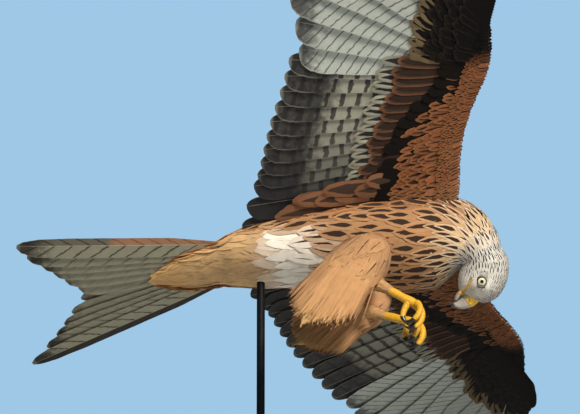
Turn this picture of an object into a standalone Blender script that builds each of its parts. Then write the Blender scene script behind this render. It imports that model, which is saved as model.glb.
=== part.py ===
"""Red kite, life size, banking in flight on a plain display stand.

The bird is laid out in its own frame: x runs forward along the body, y to the
bird's left and z towards its back, with the origin on the body's axis between the
shoulders.  One matrix turns that frame into the bank and climb of the pose and sets
it at its height over the base.  The world origin is the middle of the base's
underside, +Z is up, and every length is in metres.
"""
import math

import bpy
import bmesh
import numpy as np
from mathutils import Matrix, Vector

# Driving dimensions of the pose
BODY_HEIGHT = 0.56
BODY_AHEAD_OF_BASE = 0.05
CLIMB = math.radians(6.7)
ROLL_FROM_VIEW = math.radians(43.0)
VIEW_LIFT = math.radians(8.6)
DIHEDRAL = math.radians(7.0)

# Gap kept between two nodes that meet
GAP = 0.0003

# Body: station along x, then middle z, half width and half height of each ring
TORSO_RINGS = (
    (-0.236, 0.003, 0.034, 0.013),
    (-0.222, 0.005, 0.040, 0.020),
    (-0.190, 0.008, 0.046, 0.030),
    (-0.150, 0.010, 0.051, 0.039),
    (-0.100, 0.007, 0.056, 0.049),
    (-0.050, 0.002, 0.059, 0.055),
    (0.000, -0.002, 0.059, 0.058),
    (0.030, -0.003, 0.057, 0.057),
    (0.045, -0.003, 0.055, 0.055),
)
BODY_SIDES = 20

# Head, in its own frame: forward along the mouth line, crown up, origin between
# the eyes.  Each ring runs from a point of the crown line to one of the throat line.
HEAD_FORWARD_VIEW = Vector((-0.49, -0.87, 0.0))
HEAD_ORIGIN = Vector((0.0780, 0.0175, -0.0622))
HEAD_RINGS = (
    ((-0.0468, 0.0036), (-0.0060, -0.0280), 0.0250),
    ((-0.0418, 0.0140), (-0.0010, -0.0280), 0.0250),
    ((-0.0330, 0.0208), (0.0040, -0.0270), 0.0245),
    ((-0.0225, 0.0258), (0.0080, -0.0255), 0.0240),
    ((-0.0120, 0.0284), (0.0120, -0.0238), 0.0230),
    ((0.0003, 0.0286), (0.0155, -0.0218), 0.0215),
    ((0.0092, 0.0266), (0.0185, -0.0202), 0.0185),
    ((0.0160, 0.0222), (0.0210, -0.0188), 0.0148),
    ((0.0212, 0.0160), (0.0225, -0.0178), 0.0108),
    ((0.0240, 0.0100), (0.0232, -0.0174), 0.0086),
)
BILL_UPPER_RINGS = (
    ((0.0244, 0.0097), (0.0236, -0.0112), 0.0083),
    ((0.0290, 0.0082), (0.0268, -0.0113), 0.0074),
    ((0.0335, 0.0055), (0.0300, -0.0114), 0.0062),
    ((0.0382, 0.0008), (0.0330, -0.0117), 0.0050),
    ((0.0417, -0.0048), (0.0356, -0.0126), 0.0038),
    ((0.0436, -0.0110), (0.0382, -0.0146), 0.0026),
    ((0.0434, -0.0168), (0.0399, -0.0176), 0.0015),
    ((0.0422, -0.0213), (0.0412, -0.0210), 0.0004),
)
BILL_LOWER_RINGS = (
    ((0.0236, -0.0121), (0.0235, -0.0175), 0.0076),
    ((0.0280, -0.0121), (0.0272, -0.0180), 0.0062),
    ((0.0320, -0.0124), (0.0312, -0.0179), 0.0046),
    ((0.0350, -0.0134), (0.0345, -0.0172), 0.0028),
    ((0.0368, -0.0148), (0.0366, -0.0164), 0.0010),
)
BILL_SIDES = 12
EYE_RADIUS = 0.0085
EYE_OUT = 0.0152
LID_RADIUS = 0.0068
LID_THICK = 0.0012
MOUTH_LINE = -0.01165
MOUTH_SLIT = 0.0007

# Lids, brows and nostrils: places out from and over the head's middle, and half sizes
LID_OUT = 0.0207
LID_SWELL = 1.3
LID_SIDES = 6
LID_STEPS = 16
BROW_AT = (0.003, 0.0190, 0.0085)
BROW_HALVES = (0.0105, 0.0036, 0.0030)
NOSTRIL_AT = (0.0276, 0.0076, -0.0005)
NOSTRIL_HALVES = (0.0018, 0.0018, 0.0009)
MOUTH_REACH = (0.0165, 0.0160, 0.040)

# Neck: radius of each ring between the torso's front and the head's rear, and how far its
# middle line runs straight out of either
NECK_RADII = (0.0535, 0.0500, 0.0450, 0.0390, 0.0335, 0.0296)
NECK_HANDLE_OUT = 0.015
NECK_HANDLE_IN = 0.030

# Wing: span, leading edge, trailing edge and thickness, seen square to the wing
FLESH_STATIONS = (
    (0.020, 0.064, -0.070, 0.034),
    (0.055, 0.068, -0.064, 0.032),
    (0.100, 0.072, -0.050, 0.027),
    (0.140, 0.079, -0.022, 0.023),
    (0.180, 0.092, 0.008, 0.019),
    (0.215, 0.107, 0.038, 0.016),
    (0.245, 0.115, 0.060, 0.015),
    (0.285, 0.117, 0.072, 0.013),
    (0.320, 0.116, 0.080, 0.011),
    (0.345, 0.115, 0.090, 0.008),
    (0.362, 0.112, 0.100, 0.004),
)
WING_SIDES = 12
WING_ROOT_Z = 0.022

# Bow of the wing behind and ahead of its crest, and upward flex of the hand
CAMBER_CREST = 0.03
CAMBER_REAR = 0.25
CAMBER_FRONT = 1.0
TIP_FLEX = 0.16
HAND_SPAN = 0.24
LEAD_AT_REAR = 0.2

# Flight feathers: their numbers; span of the first root and run to the last; how far
# the roots lie ahead of the flesh's rear edge; lengths; and angles from straight back
TERTIALS = 3
TERTIAL_SPANS = (0.050, 0.048)
TERTIAL_SET_IN = 0.030
TERTIAL_LENGTHS = (0.160, -0.006)
TERTIAL_IN = -3.0
SECONDARIES = 10
SECONDARY_SPANS = (0.112, 0.124)
SECONDARY_SET_IN = 0.018
SECONDARY_LENGTHS = (0.150, 0.040)
SECONDARY_IN = -6.0
SECONDARY_FAN = 1.2
PRIMARIES = 10
PRIMARY_SPANS = (0.247, 0.088)
PRIMARY_AHEAD = (0.080, 0.022)
PRIMARY_LENGTHS = (0.198, 0.208, 0.224, 0.250, 0.292, 0.340, 0.370, 0.378, 0.358, 0.290)

# Solvers that join the feathers to the wing and cut it clear of the torso
WING_SOLVER = "EXACT"
CARVE_SOLVER = "MANIFOLD"

# Per wing: shift of the leading edge, angles of the innermost and outermost
# primaries from straight back, angle of the outermost secondary, and length
# factors of the arm's and of the hand's feathers
WING_POSE = {
    "right": {"side": -1, "lead": 0.000, "p_in": 10.0, "p_out": 80.0, "s_out": 9.0, "reach": 1.045,
              "hand": 0.975},
    "left": {"side": 1, "lead": 0.027, "p_in": 30.0, "p_out": 91.0, "s_out": 25.0, "reach": 1.12,
             "hand": 1.10},
}

# Tail: root and tip of each right or left feather from the middle out
TAIL_ROOT_X = -0.240
TAIL_ROOT_Y = (0.0060, 0.0120, 0.0178, 0.0234, 0.0288, 0.0338)
TAIL_TIP_X = (-0.411, -0.425, -0.437, -0.449, -0.464, -0.486)
TAIL_TIP_Y = (0.0115, 0.0295, 0.0465, 0.0625, 0.0795, 0.1030)
TAIL_DROOP = math.radians(5.5)
TAIL_SHIFT = 0.010
TAIL_SHIFT_OVER = 0.245

# Tail's fleshy root: x, half width and half height
TAIL_CORE = (
    (-0.2363, 0.0335, 0.0115),
    (-0.2450, 0.0335, 0.0100),
    (-0.2560, 0.0325, 0.0070),
    (-0.2680, 0.0290, 0.0030),
)
TAIL_CORE_SIDES = 16

# Legs: hip and end of the thigh, hock, and knuckle of the toes
LEGS = {
    "right": {
        "hip": (-0.052, -0.044, -0.052), "end": (-0.137, -0.046, -0.153),
        "hock": (-0.050, -0.036, -0.098), "knuckle": (-0.006, -0.026, -0.1325),
    },
    "left": {
        "hip": (-0.052, 0.040, -0.046), "end": (-0.148, 0.041, -0.104),
        "hock": (-0.058, 0.026, -0.085), "knuckle": (-0.007, 0.014, -0.1240),
    },
}

# Thigh rings: share of the way, half breadth and half thickness
THIGH_RINGS = (
    (-0.18, 0.020, 0.016),
    (0.00, 0.030, 0.025),
    (0.20, 0.036, 0.026),
    (0.45, 0.036, 0.021),
    (0.68, 0.029, 0.015),
    (0.86, 0.019, 0.009),
    (1.00, 0.007, 0.003),
)
THIGH_SIDES = 14

# Shank: radius, how far it reaches into the thigh, and its swell at five places
TARSUS_RADIUS = 0.0042
TARSUS_IN = 0.012
TARSUS_AT = (0.0, 0.3, 0.6, 0.85, 1.0)
TARSUS_SWELL = (1.15, 1.0, 0.92, 1.0, 1.1)
KNUCKLE_RADIUS = 0.0062

# Toes and claws: lengths, radii, way of the curl, fan of the front toes, and the angles
# between which toes and claws turn from the shank towards the curl
TOE_LENGTHS = (0.028, 0.034, 0.026, 0.022)
TOE_RADIUS = 0.0033
TOE_TAPER = (1.1, 0.80)
TOE_SIDES = 8
TOE_ROOT_GAP = 0.0035
TOE_FAN = (-30.0, 0.0, 30.0)
TOE_TURN = (8.0, 118.0)
CLAW_LENGTH = 0.015
CLAW_SWELL = (0.72, 0.62, 0.46, 0.28, 0.08)
CLAW_TURN = (112.0, 200.0)
CURL_WAY = (-0.35, 0.30, -0.88)
HIND_ROOT = (0.010, 0.001)
HIND_TURN = (96.0, 62.0)
HIND_CLAW_TURN = (52.0, -30.0)

# Stand
BASE_LENGTH = 0.400
BASE_WIDTH = 0.280
BASE_THICK = 0.008
BASE_CORNER = 0.030
ROD_RADIUS = 0.005
ROD_AT = (-0.185, 0.004, 0.0)

# Feather webs: share of the length, share of the full width
FULL_WEB = ((0.0, 0.22), (0.10, 0.28), (0.27, 1.0), (0.84, 0.96), (0.96, 0.62), (1.0, 0.18))
FINGER_WEB = ((0.0, 0.15), (0.12, 0.20), (0.32, 1.0), (0.50, 0.96), (0.62, 0.62), (0.88, 0.50), (1.0, 0.10))
COVERT_WEB = ((0.0, 0.35), (0.25, 1.0), (0.80, 0.95), (1.0, 0.30))
TAIL_WEB = ((0.0, 0.16), (0.10, 0.24), (0.32, 0.92), (0.72, 1.0), (0.94, 0.74), (1.0, 0.14))

# Half widths of the inner and outer web
SECONDARY_WEBS = (0.0205, 0.0105)
INNER_PRIMARY_WEBS = (0.0290, 0.0140)
FINGER_WEBS = (0.0280, 0.0120)
COVERT_WEBS = (0.0160, 0.0090)
TAIL_WEBS = (0.0150, 0.0115)
TAIL_COVERT_WEBS = (0.010, 0.010)
MIDDLE_COVERT_WEBS = (0.005, 0.010)

# Vanes: thickness at root and tip, tilt about the shaft, how far the root sinks into the
# flesh, and step from one primary to the next
VANE_THICK = 0.0009
VANE_EDGE = 0.0006
VANE_TILT = math.radians(8.5)
TAIL_TILT = math.radians(9.0)
TAIL_OVERLAP = 0.0025
SINK = 0.013
PRIMARY_STEP = 0.0003

# Greater coverts of wing and tail: lengths, or shares of the tail feather's length below
# and above, and heights over the quill at root and tip
SECONDARY_COVERT = 0.068
TERTIAL_COVERT = 0.074
PRIMARY_COVERTS = (0.056, 0.0045)
COVERT_LIFTS = (0.0024, 0.0030)
TAIL_COVERTS = 5
TAIL_COVERT_SHARES = ((-1.0, 0.42), (1.0, 0.36))
TAIL_COVERT_LIFTS = (0.0030, 0.0036)


def view_axes():
    """Body axes as seen by a viewer: columns are forward, left and back (dorsal)."""
    forward = Vector((math.cos(CLIMB), math.sin(CLIMB), 0.0))
    across = Vector((-math.sin(CLIMB), math.cos(CLIMB), 0.0))
    right = across * math.cos(ROLL_FROM_VIEW) + Vector((0.0, 0.0, math.sin(ROLL_FROM_VIEW)))
    dorsal = right.cross(forward)
    return Matrix((forward, -right, dorsal)).transposed()


def view_to_world():
    """Turns the viewer's right, up and towards axes into world axes."""
    lift_cos = math.cos(VIEW_LIFT)
    lift_sin = math.sin(VIEW_LIFT)
    return Matrix(((1.0, 0.0, 0.0), (0.0, -lift_sin, -lift_cos), (0.0, lift_cos, -lift_sin)))


BODY_TURN = view_to_world() @ view_axes()
BODY_PLACE = Vector((BODY_AHEAD_OF_BASE, 0.0, BODY_HEIGHT))


def to_world(point):
    """Body frame to world."""
    return BODY_TURN @ Vector(point) + BODY_PLACE


def head_axes():
    """Head's forward, left and crown axes in the body frame, the profile square to the view."""
    forward = HEAD_FORWARD_VIEW.normalized()
    toward = Vector((0.0, 0.0, 1.0))
    crown = toward.cross(forward)
    to_body = view_axes().transposed()
    return to_body @ forward, to_body @ -toward, to_body @ crown


HEAD_F, HEAD_L, HEAD_U = head_axes()


def head_point(forward, left, up):
    """Head frame to body frame."""
    return HEAD_ORIGIN + HEAD_F * forward + HEAD_L * left + HEAD_U * up


def material(name, colour, roughness, metallic=0.0):
    """One Principled material."""
    made = bpy.data.materials.new(name)
    made.use_nodes = True
    shader = made.node_tree.nodes["Principled BSDF"]
    shader.inputs["Base Color"].default_value = (*colour, 1.0)
    shader.inputs["Roughness"].default_value = roughness
    shader.inputs["Metallic"].default_value = metallic
    return made


def add_object(name, verts, faces, collection, place=True):
    """Puts points given in the body frame into a new closed mesh object."""
    points = [to_world(point) if place else Vector(point) for point in verts]
    mesh = bpy.data.meshes.new(name)
    mesh.from_pydata(points, [], faces)
    form = bmesh.new()
    form.from_mesh(mesh)
    bmesh.ops.recalc_face_normals(form, faces=form.faces)
    form.to_mesh(mesh)
    form.free()
    made = bpy.data.objects.new(name, mesh)
    collection.objects.link(made)
    return made


def loft(rings):
    """Closed tube through rings of equally many points, with fanned ends."""
    sides = len(rings[0])
    verts = [point for ring in rings for point in ring]
    faces = []
    for row in range(len(rings) - 1):
        for side in range(sides):
            beside = (side + 1) % sides
            low = row * sides
            high = low + sides
            faces.append((low + side, low + beside, high + beside, high + side))
    for ring, row in ((rings[0], 0), (rings[-1], len(rings) - 1)):
        middle = sum((Vector(point) for point in ring), Vector()) / sides
        verts.append(middle)
        centre = len(verts) - 1
        for side in range(sides):
            faces.append((row * sides + side, row * sides + (side + 1) % sides, centre))
    return verts, faces


def oval_ring(centre, up, side, count, square=2.0):
    """Ring of points round a centre: a superellipse on two half axes."""
    ring = []
    for step in range(count):
        turn = 2.0 * math.pi * step / count
        cos_turn = math.cos(turn)
        sin_turn = math.sin(turn)
        reach_up = math.copysign(abs(cos_turn) ** (2.0 / square), cos_turn)
        reach_side = math.copysign(abs(sin_turn) ** (2.0 / square), sin_turn)
        ring.append(Vector(centre) + Vector(up) * reach_up + Vector(side) * reach_side)
    return ring


def torso_rings(grow=0.0):
    """Rings of the torso, grown by a clearance for use as a cutter."""
    rings = []
    for x, z, half_width, half_height in TORSO_RINGS:
        rings.append(oval_ring((x, 0.0, z), (0.0, 0.0, half_height + grow),
                               (0.0, half_width + grow, 0.0), BODY_SIDES))
    return rings


def profile_ring(row, sides, grow=0.0, square=2.0):
    """Ring of the head or bill between a crown-line and a throat-line point."""
    (top_f, top_u), (low_f, low_u), half_width = row
    top = head_point(top_f, 0.0, top_u)
    low = head_point(low_f, 0.0, low_u)
    middle = (top + low) / 2.0
    up = (top - low) / 2.0
    up = up * (1.0 + grow / up.length)
    return oval_ring(middle, up, HEAD_L * (half_width + grow), sides, square)


def neck_rings(grow=0.0):
    """Rings from the torso's front face to the head's rear face, or grown for a cutter."""
    x, z, half_width, half_height = TORSO_RINGS[-1]
    first = oval_ring((x + GAP - 2.0 * grow, 0.0, z), (0.0, 0.0, half_height + grow),
                      (0.0, half_width + grow, 0.0), BODY_SIDES)
    (top_f, top_u), (low_f, low_u), end_width = HEAD_RINGS[0]
    top = head_point(top_f, 0.0, top_u)
    low = head_point(low_f, 0.0, low_u)
    into_head = (top - low).cross(HEAD_L).normalized()
    if into_head.dot(HEAD_F) < 0.0:
        into_head = -into_head
    end_middle = (top + low) / 2.0 - into_head * GAP
    end_up = (top - low) / 2.0
    start = Vector((x + GAP, 0.0, z))
    handle_out = start + Vector((NECK_HANDLE_OUT, 0.0, 0.0))
    handle_in = end_middle - into_head * NECK_HANDLE_IN
    rings = [first]
    for index, radius in enumerate(NECK_RADII):
        t = (index + 1) / (len(NECK_RADII) + 1)
        s = 1.0 - t
        middle = (start * s ** 3 + handle_out * 3 * s * s * t + handle_in * 3 * s * t * t
                  + end_middle * t ** 3)
        along = ((handle_out - start) * 3 * s * s + (handle_in - handle_out) * 6 * s * t
                 + (end_middle - handle_in) * 3 * t * t).normalized()
        side = Vector((0.0, 1.0, 0.0)).lerp(HEAD_L, t)
        side = (side - along * side.dot(along)).normalized()
        up = along.cross(side)
        reach = radius + grow
        rings.append(oval_ring(middle, up * reach, side * reach, BODY_SIDES))
    rings.append(oval_ring(end_middle, end_up, HEAD_L * end_width, BODY_SIDES))
    return rings


def wing_point(side, span, ahead, lift):
    """Wing frame to body frame: the wing bows down at both edges and flexes up at the tip."""
    behind = ahead - CAMBER_CREST
    bow = CAMBER_REAR if behind < 0.0 else CAMBER_FRONT
    height = lift - bow * behind * behind
    height += TIP_FLEX * max(0.0, span - HAND_SPAN) ** 2
    across = span * math.cos(DIHEDRAL) - height * math.sin(DIHEDRAL)
    up = span * math.sin(DIHEDRAL) + height * math.cos(DIHEDRAL)
    return Vector((ahead, side * across, WING_ROOT_Z + up))


def along_table(table, key, column):
    """Reads a column of a table of stations between its rows."""
    keys = [row[0] for row in table]
    values = [row[column] for row in table]
    return float(np.interp(key, keys, values))


def lead_edge(pose, span):
    """Leading edge of the wing, which one wing carries further forward at the wrist."""
    ramp = min(1.0, span / HAND_SPAN)
    return along_table(FLESH_STATIONS, span, 1) + pose["lead"] * ramp


def flesh_edge(pose, span):
    """Rear edge of the wing's flesh, which moves forward by a part of the lead."""
    ramp = min(1.0, span / HAND_SPAN)
    return along_table(FLESH_STATIONS, span, 2) + LEAD_AT_REAR * pose["lead"] * ramp


def flight_feathers(pose):
    """Root, angle from straight back and length of each secondary, tertial and primary."""
    rows = {"tertial": [], "secondary": [], "primary": []}
    for index in range(TERTIALS):
        t = index / (TERTIALS - 1)
        span = TERTIAL_SPANS[0] + TERTIAL_SPANS[1] * t
        root = (span, flesh_edge(pose, span) + TERTIAL_SET_IN)
        length = (TERTIAL_LENGTHS[0] + TERTIAL_LENGTHS[1] * t) * pose["reach"]
        rows["tertial"].append((root, TERTIAL_IN * (1.0 - t), length))
    for index in range(SECONDARIES):
        t = index / (SECONDARIES - 1)
        span = SECONDARY_SPANS[0] + SECONDARY_SPANS[1] * t
        root = (span, flesh_edge(pose, span) + SECONDARY_SET_IN)
        angle = SECONDARY_IN + (pose["s_out"] - SECONDARY_IN) * t ** SECONDARY_FAN
        length = (SECONDARY_LENGTHS[0] + SECONDARY_LENGTHS[1] * t) * pose["reach"]
        rows["secondary"].append((root, angle, length))
    for index in range(PRIMARIES):
        t = index / (PRIMARIES - 1)
        span = PRIMARY_SPANS[0] + PRIMARY_SPANS[1] * t
        root = (span, PRIMARY_AHEAD[0] + PRIMARY_AHEAD[1] * t + 0.5 * (1.0 + t) * pose["lead"])
        angle = pose["p_in"] + (pose["p_out"] - pose["p_in"]) * t
        rows["primary"].append((root, angle, PRIMARY_LENGTHS[index] * pose["hand"]))
    return rows


def vane(place, root, angle, length, webs, halves, tilt, lifts):
    """Thin closed feather: its webs tilt about the shaft, so that neighbours pass clear.

    place maps span, ahead and lift to the body frame; halves are the inner and outer
    half widths; lifts are the shaft's height at the root and at the tip."""
    turn = math.radians(angle)
    way = (math.sin(turn), -math.cos(turn))
    aside = (math.cos(turn), math.sin(turn))
    inner, outer = halves
    rise = math.tan(tilt)
    sink_share = SINK / length
    verts = []
    for share, width in webs:
        along = (share * (1.0 + sink_share) - sink_share) * length
        lift = lifts[0] + (lifts[1] - lifts[0]) * share
        thick = (VANE_THICK + (VANE_EDGE - VANE_THICK) * share) / 2.0
        for offset, level in ((outer, 1), (outer, -1), (-inner, -1), (-inner, 1)):
            reach = offset * width
            verts.append(place(root[0] + way[0] * along + aside[0] * reach,
                               root[1] + way[1] * along + aside[1] * reach,
                               lift + reach * rise + level * thick))
    faces = []
    last = len(webs) - 1
    for row in range(last):
        low = 4 * row
        high = low + 4
        faces += [(low, low + 3, high), (low + 3, high + 3, high)]
        faces += [(low + 1, high + 1, low + 2), (low + 2, high + 1, high + 2)]
        faces += [(low, high, low + 1), (low + 1, high, high + 1)]
        faces += [(low + 3, low + 2, high + 3), (low + 2, high + 2, high + 3)]
    end = 4 * last
    faces += [(0, 1, 2), (0, 2, 3), (end, end + 2, end + 1), (end, end + 3, end + 2)]
    return verts, faces


def wing_flesh(pose):
    """Arm and hand with their small feathers: an aerofoil body from shoulder to hand."""
    rings = []
    for span, _, _, thick in FLESH_STATIONS:
        front = lead_edge(pose, span)
        back = flesh_edge(pose, span)
        ring = []
        for step in range(WING_SIDES):
            turn = 2.0 * math.pi * step / WING_SIDES
            share = 0.5 + 0.5 * math.cos(turn)
            lift = 0.5 * thick * math.sin(turn) * (0.55 + 0.45 * share)
            ring.append(wing_point(pose["side"], span, back + (front - back) * share, lift))
        rings.append(ring)
    return loft(rings)


def wing_vanes(pose):
    """Every flight feather of a wing and its greater coverts below and above."""
    def place(span, ahead, lift):
        return wing_point(pose["side"], span, ahead, lift)

    rows = flight_feathers(pose)
    low, high = COVERT_LIFTS
    made = []
    inner_rows = [(row, TERTIAL_COVERT) for row in rows["tertial"]]
    inner_rows += [(row, SECONDARY_COVERT) for row in rows["secondary"]]
    for (root, angle, length), covert in inner_rows:
        made.append(vane(place, root, angle, length, FULL_WEB, SECONDARY_WEBS, VANE_TILT, (0.0, 0.0)))
        for way in (-1.0, 1.0):
            made.append(vane(place, root, angle, covert * pose["reach"], COVERT_WEB, COVERT_WEBS,
                             VANE_TILT, (way * low, way * high)))
    for index, (root, angle, length) in enumerate(rows["primary"]):
        finger = index >= PRIMARIES // 2
        webs = FINGER_WEB if finger else FULL_WEB
        halves = FINGER_WEBS if finger else INNER_PRIMARY_WEBS
        step = -PRIMARY_STEP * index
        made.append(vane(place, root, angle, length, webs, halves, VANE_TILT, (step, step)))
        covert = PRIMARY_COVERTS[0] + PRIMARY_COVERTS[1] * index
        for way in (-1.0, 1.0):
            made.append(vane(place, root, angle, covert, COVERT_WEB, COVERT_WEBS, VANE_TILT,
                             (step + way * low, step + way * high)))
    return made


def tail_vanes():
    """The twelve tail feathers, the outer ones lowest, and their coverts below and above."""
    made = []
    for side in (-1, 1):
        def place(span, ahead, lift, side=side):
            return tail_point(Vector((ahead, side * span, lift)))

        for index in range(len(TAIL_TIP_X)):
            root = (TAIL_ROOT_Y[index], TAIL_ROOT_X)
            run_span = TAIL_TIP_Y[index] - TAIL_ROOT_Y[index]
            run_back = TAIL_ROOT_X - TAIL_TIP_X[index]
            angle = math.degrees(math.atan2(run_span, run_back))
            length = math.hypot(run_span, run_back)
            raised = TAIL_OVERLAP if side > 0 and index == 0 else 0.0
            made.append(vane(place, root, angle, length, TAIL_WEB, TAIL_WEBS, TAIL_TILT,
                             (raised, raised)))
            if index < TAIL_COVERTS:
                halves = TAIL_COVERT_WEBS if index else MIDDLE_COVERT_WEBS
                low, high = TAIL_COVERT_LIFTS
                for way, share in TAIL_COVERT_SHARES:
                    made.append(vane(place, root, angle, length * share, COVERT_WEB, halves, TAIL_TILT,
                                     (way * low, way * high)))
    return made


def tail_core():
    """Fleshy root of the tail."""
    rings = []
    for x, half_width, half_height in TAIL_CORE:
        ring = oval_ring((x, 0.0, 0.0), (0.0, 0.0, half_height), (0.0, half_width, 0.0),
                         TAIL_CORE_SIDES)
        rings.append([tail_point(point) for point in ring])
    return loft(rings)


def tail_point(flat):
    """Droops a point of the flat tail about its root."""
    behind = flat.x - TAIL_ROOT_X
    return Vector((TAIL_ROOT_X + behind * math.cos(TAIL_DROOP) + flat.z * math.sin(TAIL_DROOP),
                   flat.y - TAIL_SHIFT * behind / TAIL_SHIFT_OVER,
                   TORSO_RINGS[0][1] + behind * math.sin(TAIL_DROOP) + flat.z * math.cos(TAIL_DROOP)))


def thigh_rings(leg, grow=0.0):
    """Feathered thigh: a flattened leaf from the flank down and back to its frayed end."""
    hip = Vector(leg["hip"])
    end = Vector(leg["end"])
    along = (end - hip).normalized()
    across = Vector((0.0, 1.0, 0.0))
    flat = along.cross(across).normalized()
    rings = []
    for share, broad, thick in THIGH_RINGS:
        middle = hip.lerp(end, share)
        rings.append(oval_ring(middle, flat * (broad + grow), across * (thick + grow), THIGH_SIDES))
    return rings


def tube_rings(points, radii, sides, first=None):
    """Round rings square to a path of points; the first may face a way of its own."""
    rings = []
    side = None
    count = len(points)
    for index, point in enumerate(points):
        before = points[max(0, index - 1)]
        after = points[min(count - 1, index + 1)]
        along = (after - before).normalized()
        if index == 0 and first is not None:
            along = first
        if side is None:
            side = along.orthogonal().normalized()
        side = (side - along * side.dot(along)).normalized()
        up = along.cross(side)
        rings.append(oval_ring(point, up * radii[index], side * radii[index], sides))
    return rings


def toe_path(knuckle, along, curl, length, angles, steps):
    """Arc of a toe or claw: leaves at one angle from the way of the shank and curls to another."""
    points = [Vector(knuckle)]
    start, end = (math.radians(angle) for angle in angles)
    for step in range(steps):
        turn = start + (end - start) * (step + 0.5) / steps
        points.append(points[-1] + (along * math.cos(turn) + curl * math.sin(turn)) * length / steps)
    return points


def foot_frame(leg):
    """Shank direction, curl direction and spread direction of a foot."""
    hock = Vector(leg["hock"])
    knuckle = Vector(leg["knuckle"])
    shank = (knuckle - hock).normalized()
    curl = Vector(CURL_WAY)
    curl = (curl - shank * curl.dot(shank)).normalized()
    return shank, curl, shank.cross(curl)


def toe_paths(leg):
    """Paths of three front toes and the hind toe, each with its claw's path."""
    shank, curl, spread = foot_frame(leg)
    knuckle = Vector(leg["knuckle"])
    paths = []
    for index, lean in enumerate(TOE_FAN):
        turn = math.radians(lean)
        along = shank * math.cos(turn) + spread * math.sin(turn)
        start = knuckle + spread * TOE_ROOT_GAP * (index - 1)
        toe = toe_path(start, along, curl, TOE_LENGTHS[index], TOE_TURN, 5)
        claw = toe_path(toe[-1], along, curl, CLAW_LENGTH, CLAW_TURN, 4)
        paths.append((toe, claw))
    start = knuckle - shank * HIND_ROOT[0] + curl * HIND_ROOT[1]
    toe = toe_path(start, shank, curl, TOE_LENGTHS[3], HIND_TURN, 4)
    claw = toe_path(toe[-1], shank, curl, CLAW_LENGTH, HIND_CLAW_TURN, 4)
    paths.append((toe, claw))
    return paths


def ball(name, centre, radius, collection, segments=16, rings=10):
    """Sphere primitive centred on a point of the body frame."""
    bpy.ops.mesh.primitive_uv_sphere_add(segments=segments, ring_count=rings, radius=radius,
                                         location=to_world(centre))
    made = bpy.context.active_object
    made.name = name
    for holder in list(made.users_collection):
        holder.objects.unlink(made)
    collection.objects.link(made)
    return made


def block(name, centre, axes, halves, collection):
    """Box with its own axes, given in the body frame."""
    verts = []
    for sx in (-1.0, 1.0):
        for sy in (-1.0, 1.0):
            for sz in (-1.0, 1.0):
                verts.append(Vector(centre) + axes[0] * halves[0] * sx + axes[1] * halves[1] * sy
                             + axes[2] * halves[2] * sz)
    faces = [(0, 1, 3, 2), (4, 6, 7, 5), (0, 4, 5, 1), (2, 3, 7, 6), (0, 2, 6, 4), (1, 5, 7, 3)]
    return add_object(name, verts, faces, collection)


def bake(item):
    """Replaces an object's mesh by its evaluated mesh, place included."""
    bpy.context.view_layer.update()
    evaluated = item.evaluated_get(bpy.context.evaluated_depsgraph_get())
    mesh = bpy.data.meshes.new_from_object(evaluated)
    mesh.transform(item.matrix_world)
    item.modifiers.clear()
    item.matrix_world = Matrix.Identity(4)
    item.data = mesh


def keep_largest(item):
    """Drops every closed surface of a mesh but the one that spans most space."""
    form = bmesh.new()
    form.from_mesh(item.data)
    left = set(form.verts)
    groups = []
    while left:
        seed = left.pop()
        group = {seed}
        edge = [seed]
        while edge:
            for link in edge.pop().link_edges:
                for vert in link.verts:
                    if vert in left:
                        left.discard(vert)
                        group.add(vert)
                        edge.append(vert)
        groups.append(group)
    groups.sort(key=len, reverse=True)
    scraps = [vert for group in groups[1:] for vert in group]
    bmesh.ops.delete(form, geom=scraps, context="VERTS")
    form.to_mesh(item.data)
    form.free()


def fuse(item, pieces, solver="EXACT"):
    """Joins closed pieces to a body by one union and keeps the one closed surface."""
    holder = bpy.data.collections.new(item.name + "_pieces")
    bpy.context.scene.collection.children.link(holder)
    for piece in pieces:
        for owner in list(piece.users_collection):
            owner.objects.unlink(piece)
        holder.objects.link(piece)
    union = item.modifiers.new("Union", "BOOLEAN")
    union.operation = "UNION"
    union.operand_type = "COLLECTION"
    union.collection = holder
    union.solver = solver
    bake(item)
    for piece in list(holder.objects):
        bpy.data.objects.remove(piece)
    bpy.data.collections.remove(holder)
    keep_largest(item)


def carve(item, cutters, solver="EXACT"):
    """Cuts a body clear of its neighbours and keeps the one closed surface."""
    for cutter in cutters:
        cutter.hide_render = True
        cutter.display_type = "WIRE"
        cut = item.modifiers.new("Cut", "BOOLEAN")
        cut.operation = "DIFFERENCE"
        cut.object = cutter
        cut.solver = solver
    bake(item)
    keep_largest(item)


def finish_piece(item, colour, smooth=True):
    """Gives a node its material and smooth shading."""
    item.data.materials.clear()
    item.data.materials.append(colour)
    if smooth:
        item.data.shade_smooth()
        item.data.set_sharp_from_angle(angle=math.radians(35.0))


def build_body(parts, looks):
    """Torso and neck."""
    torso = add_object("torso", *loft(torso_rings()), parts)
    finish_piece(torso, looks["rufous"])
    neck = add_object("neck", *loft(neck_rings()), parts)
    finish_piece(neck, looks["streaked"])


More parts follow.
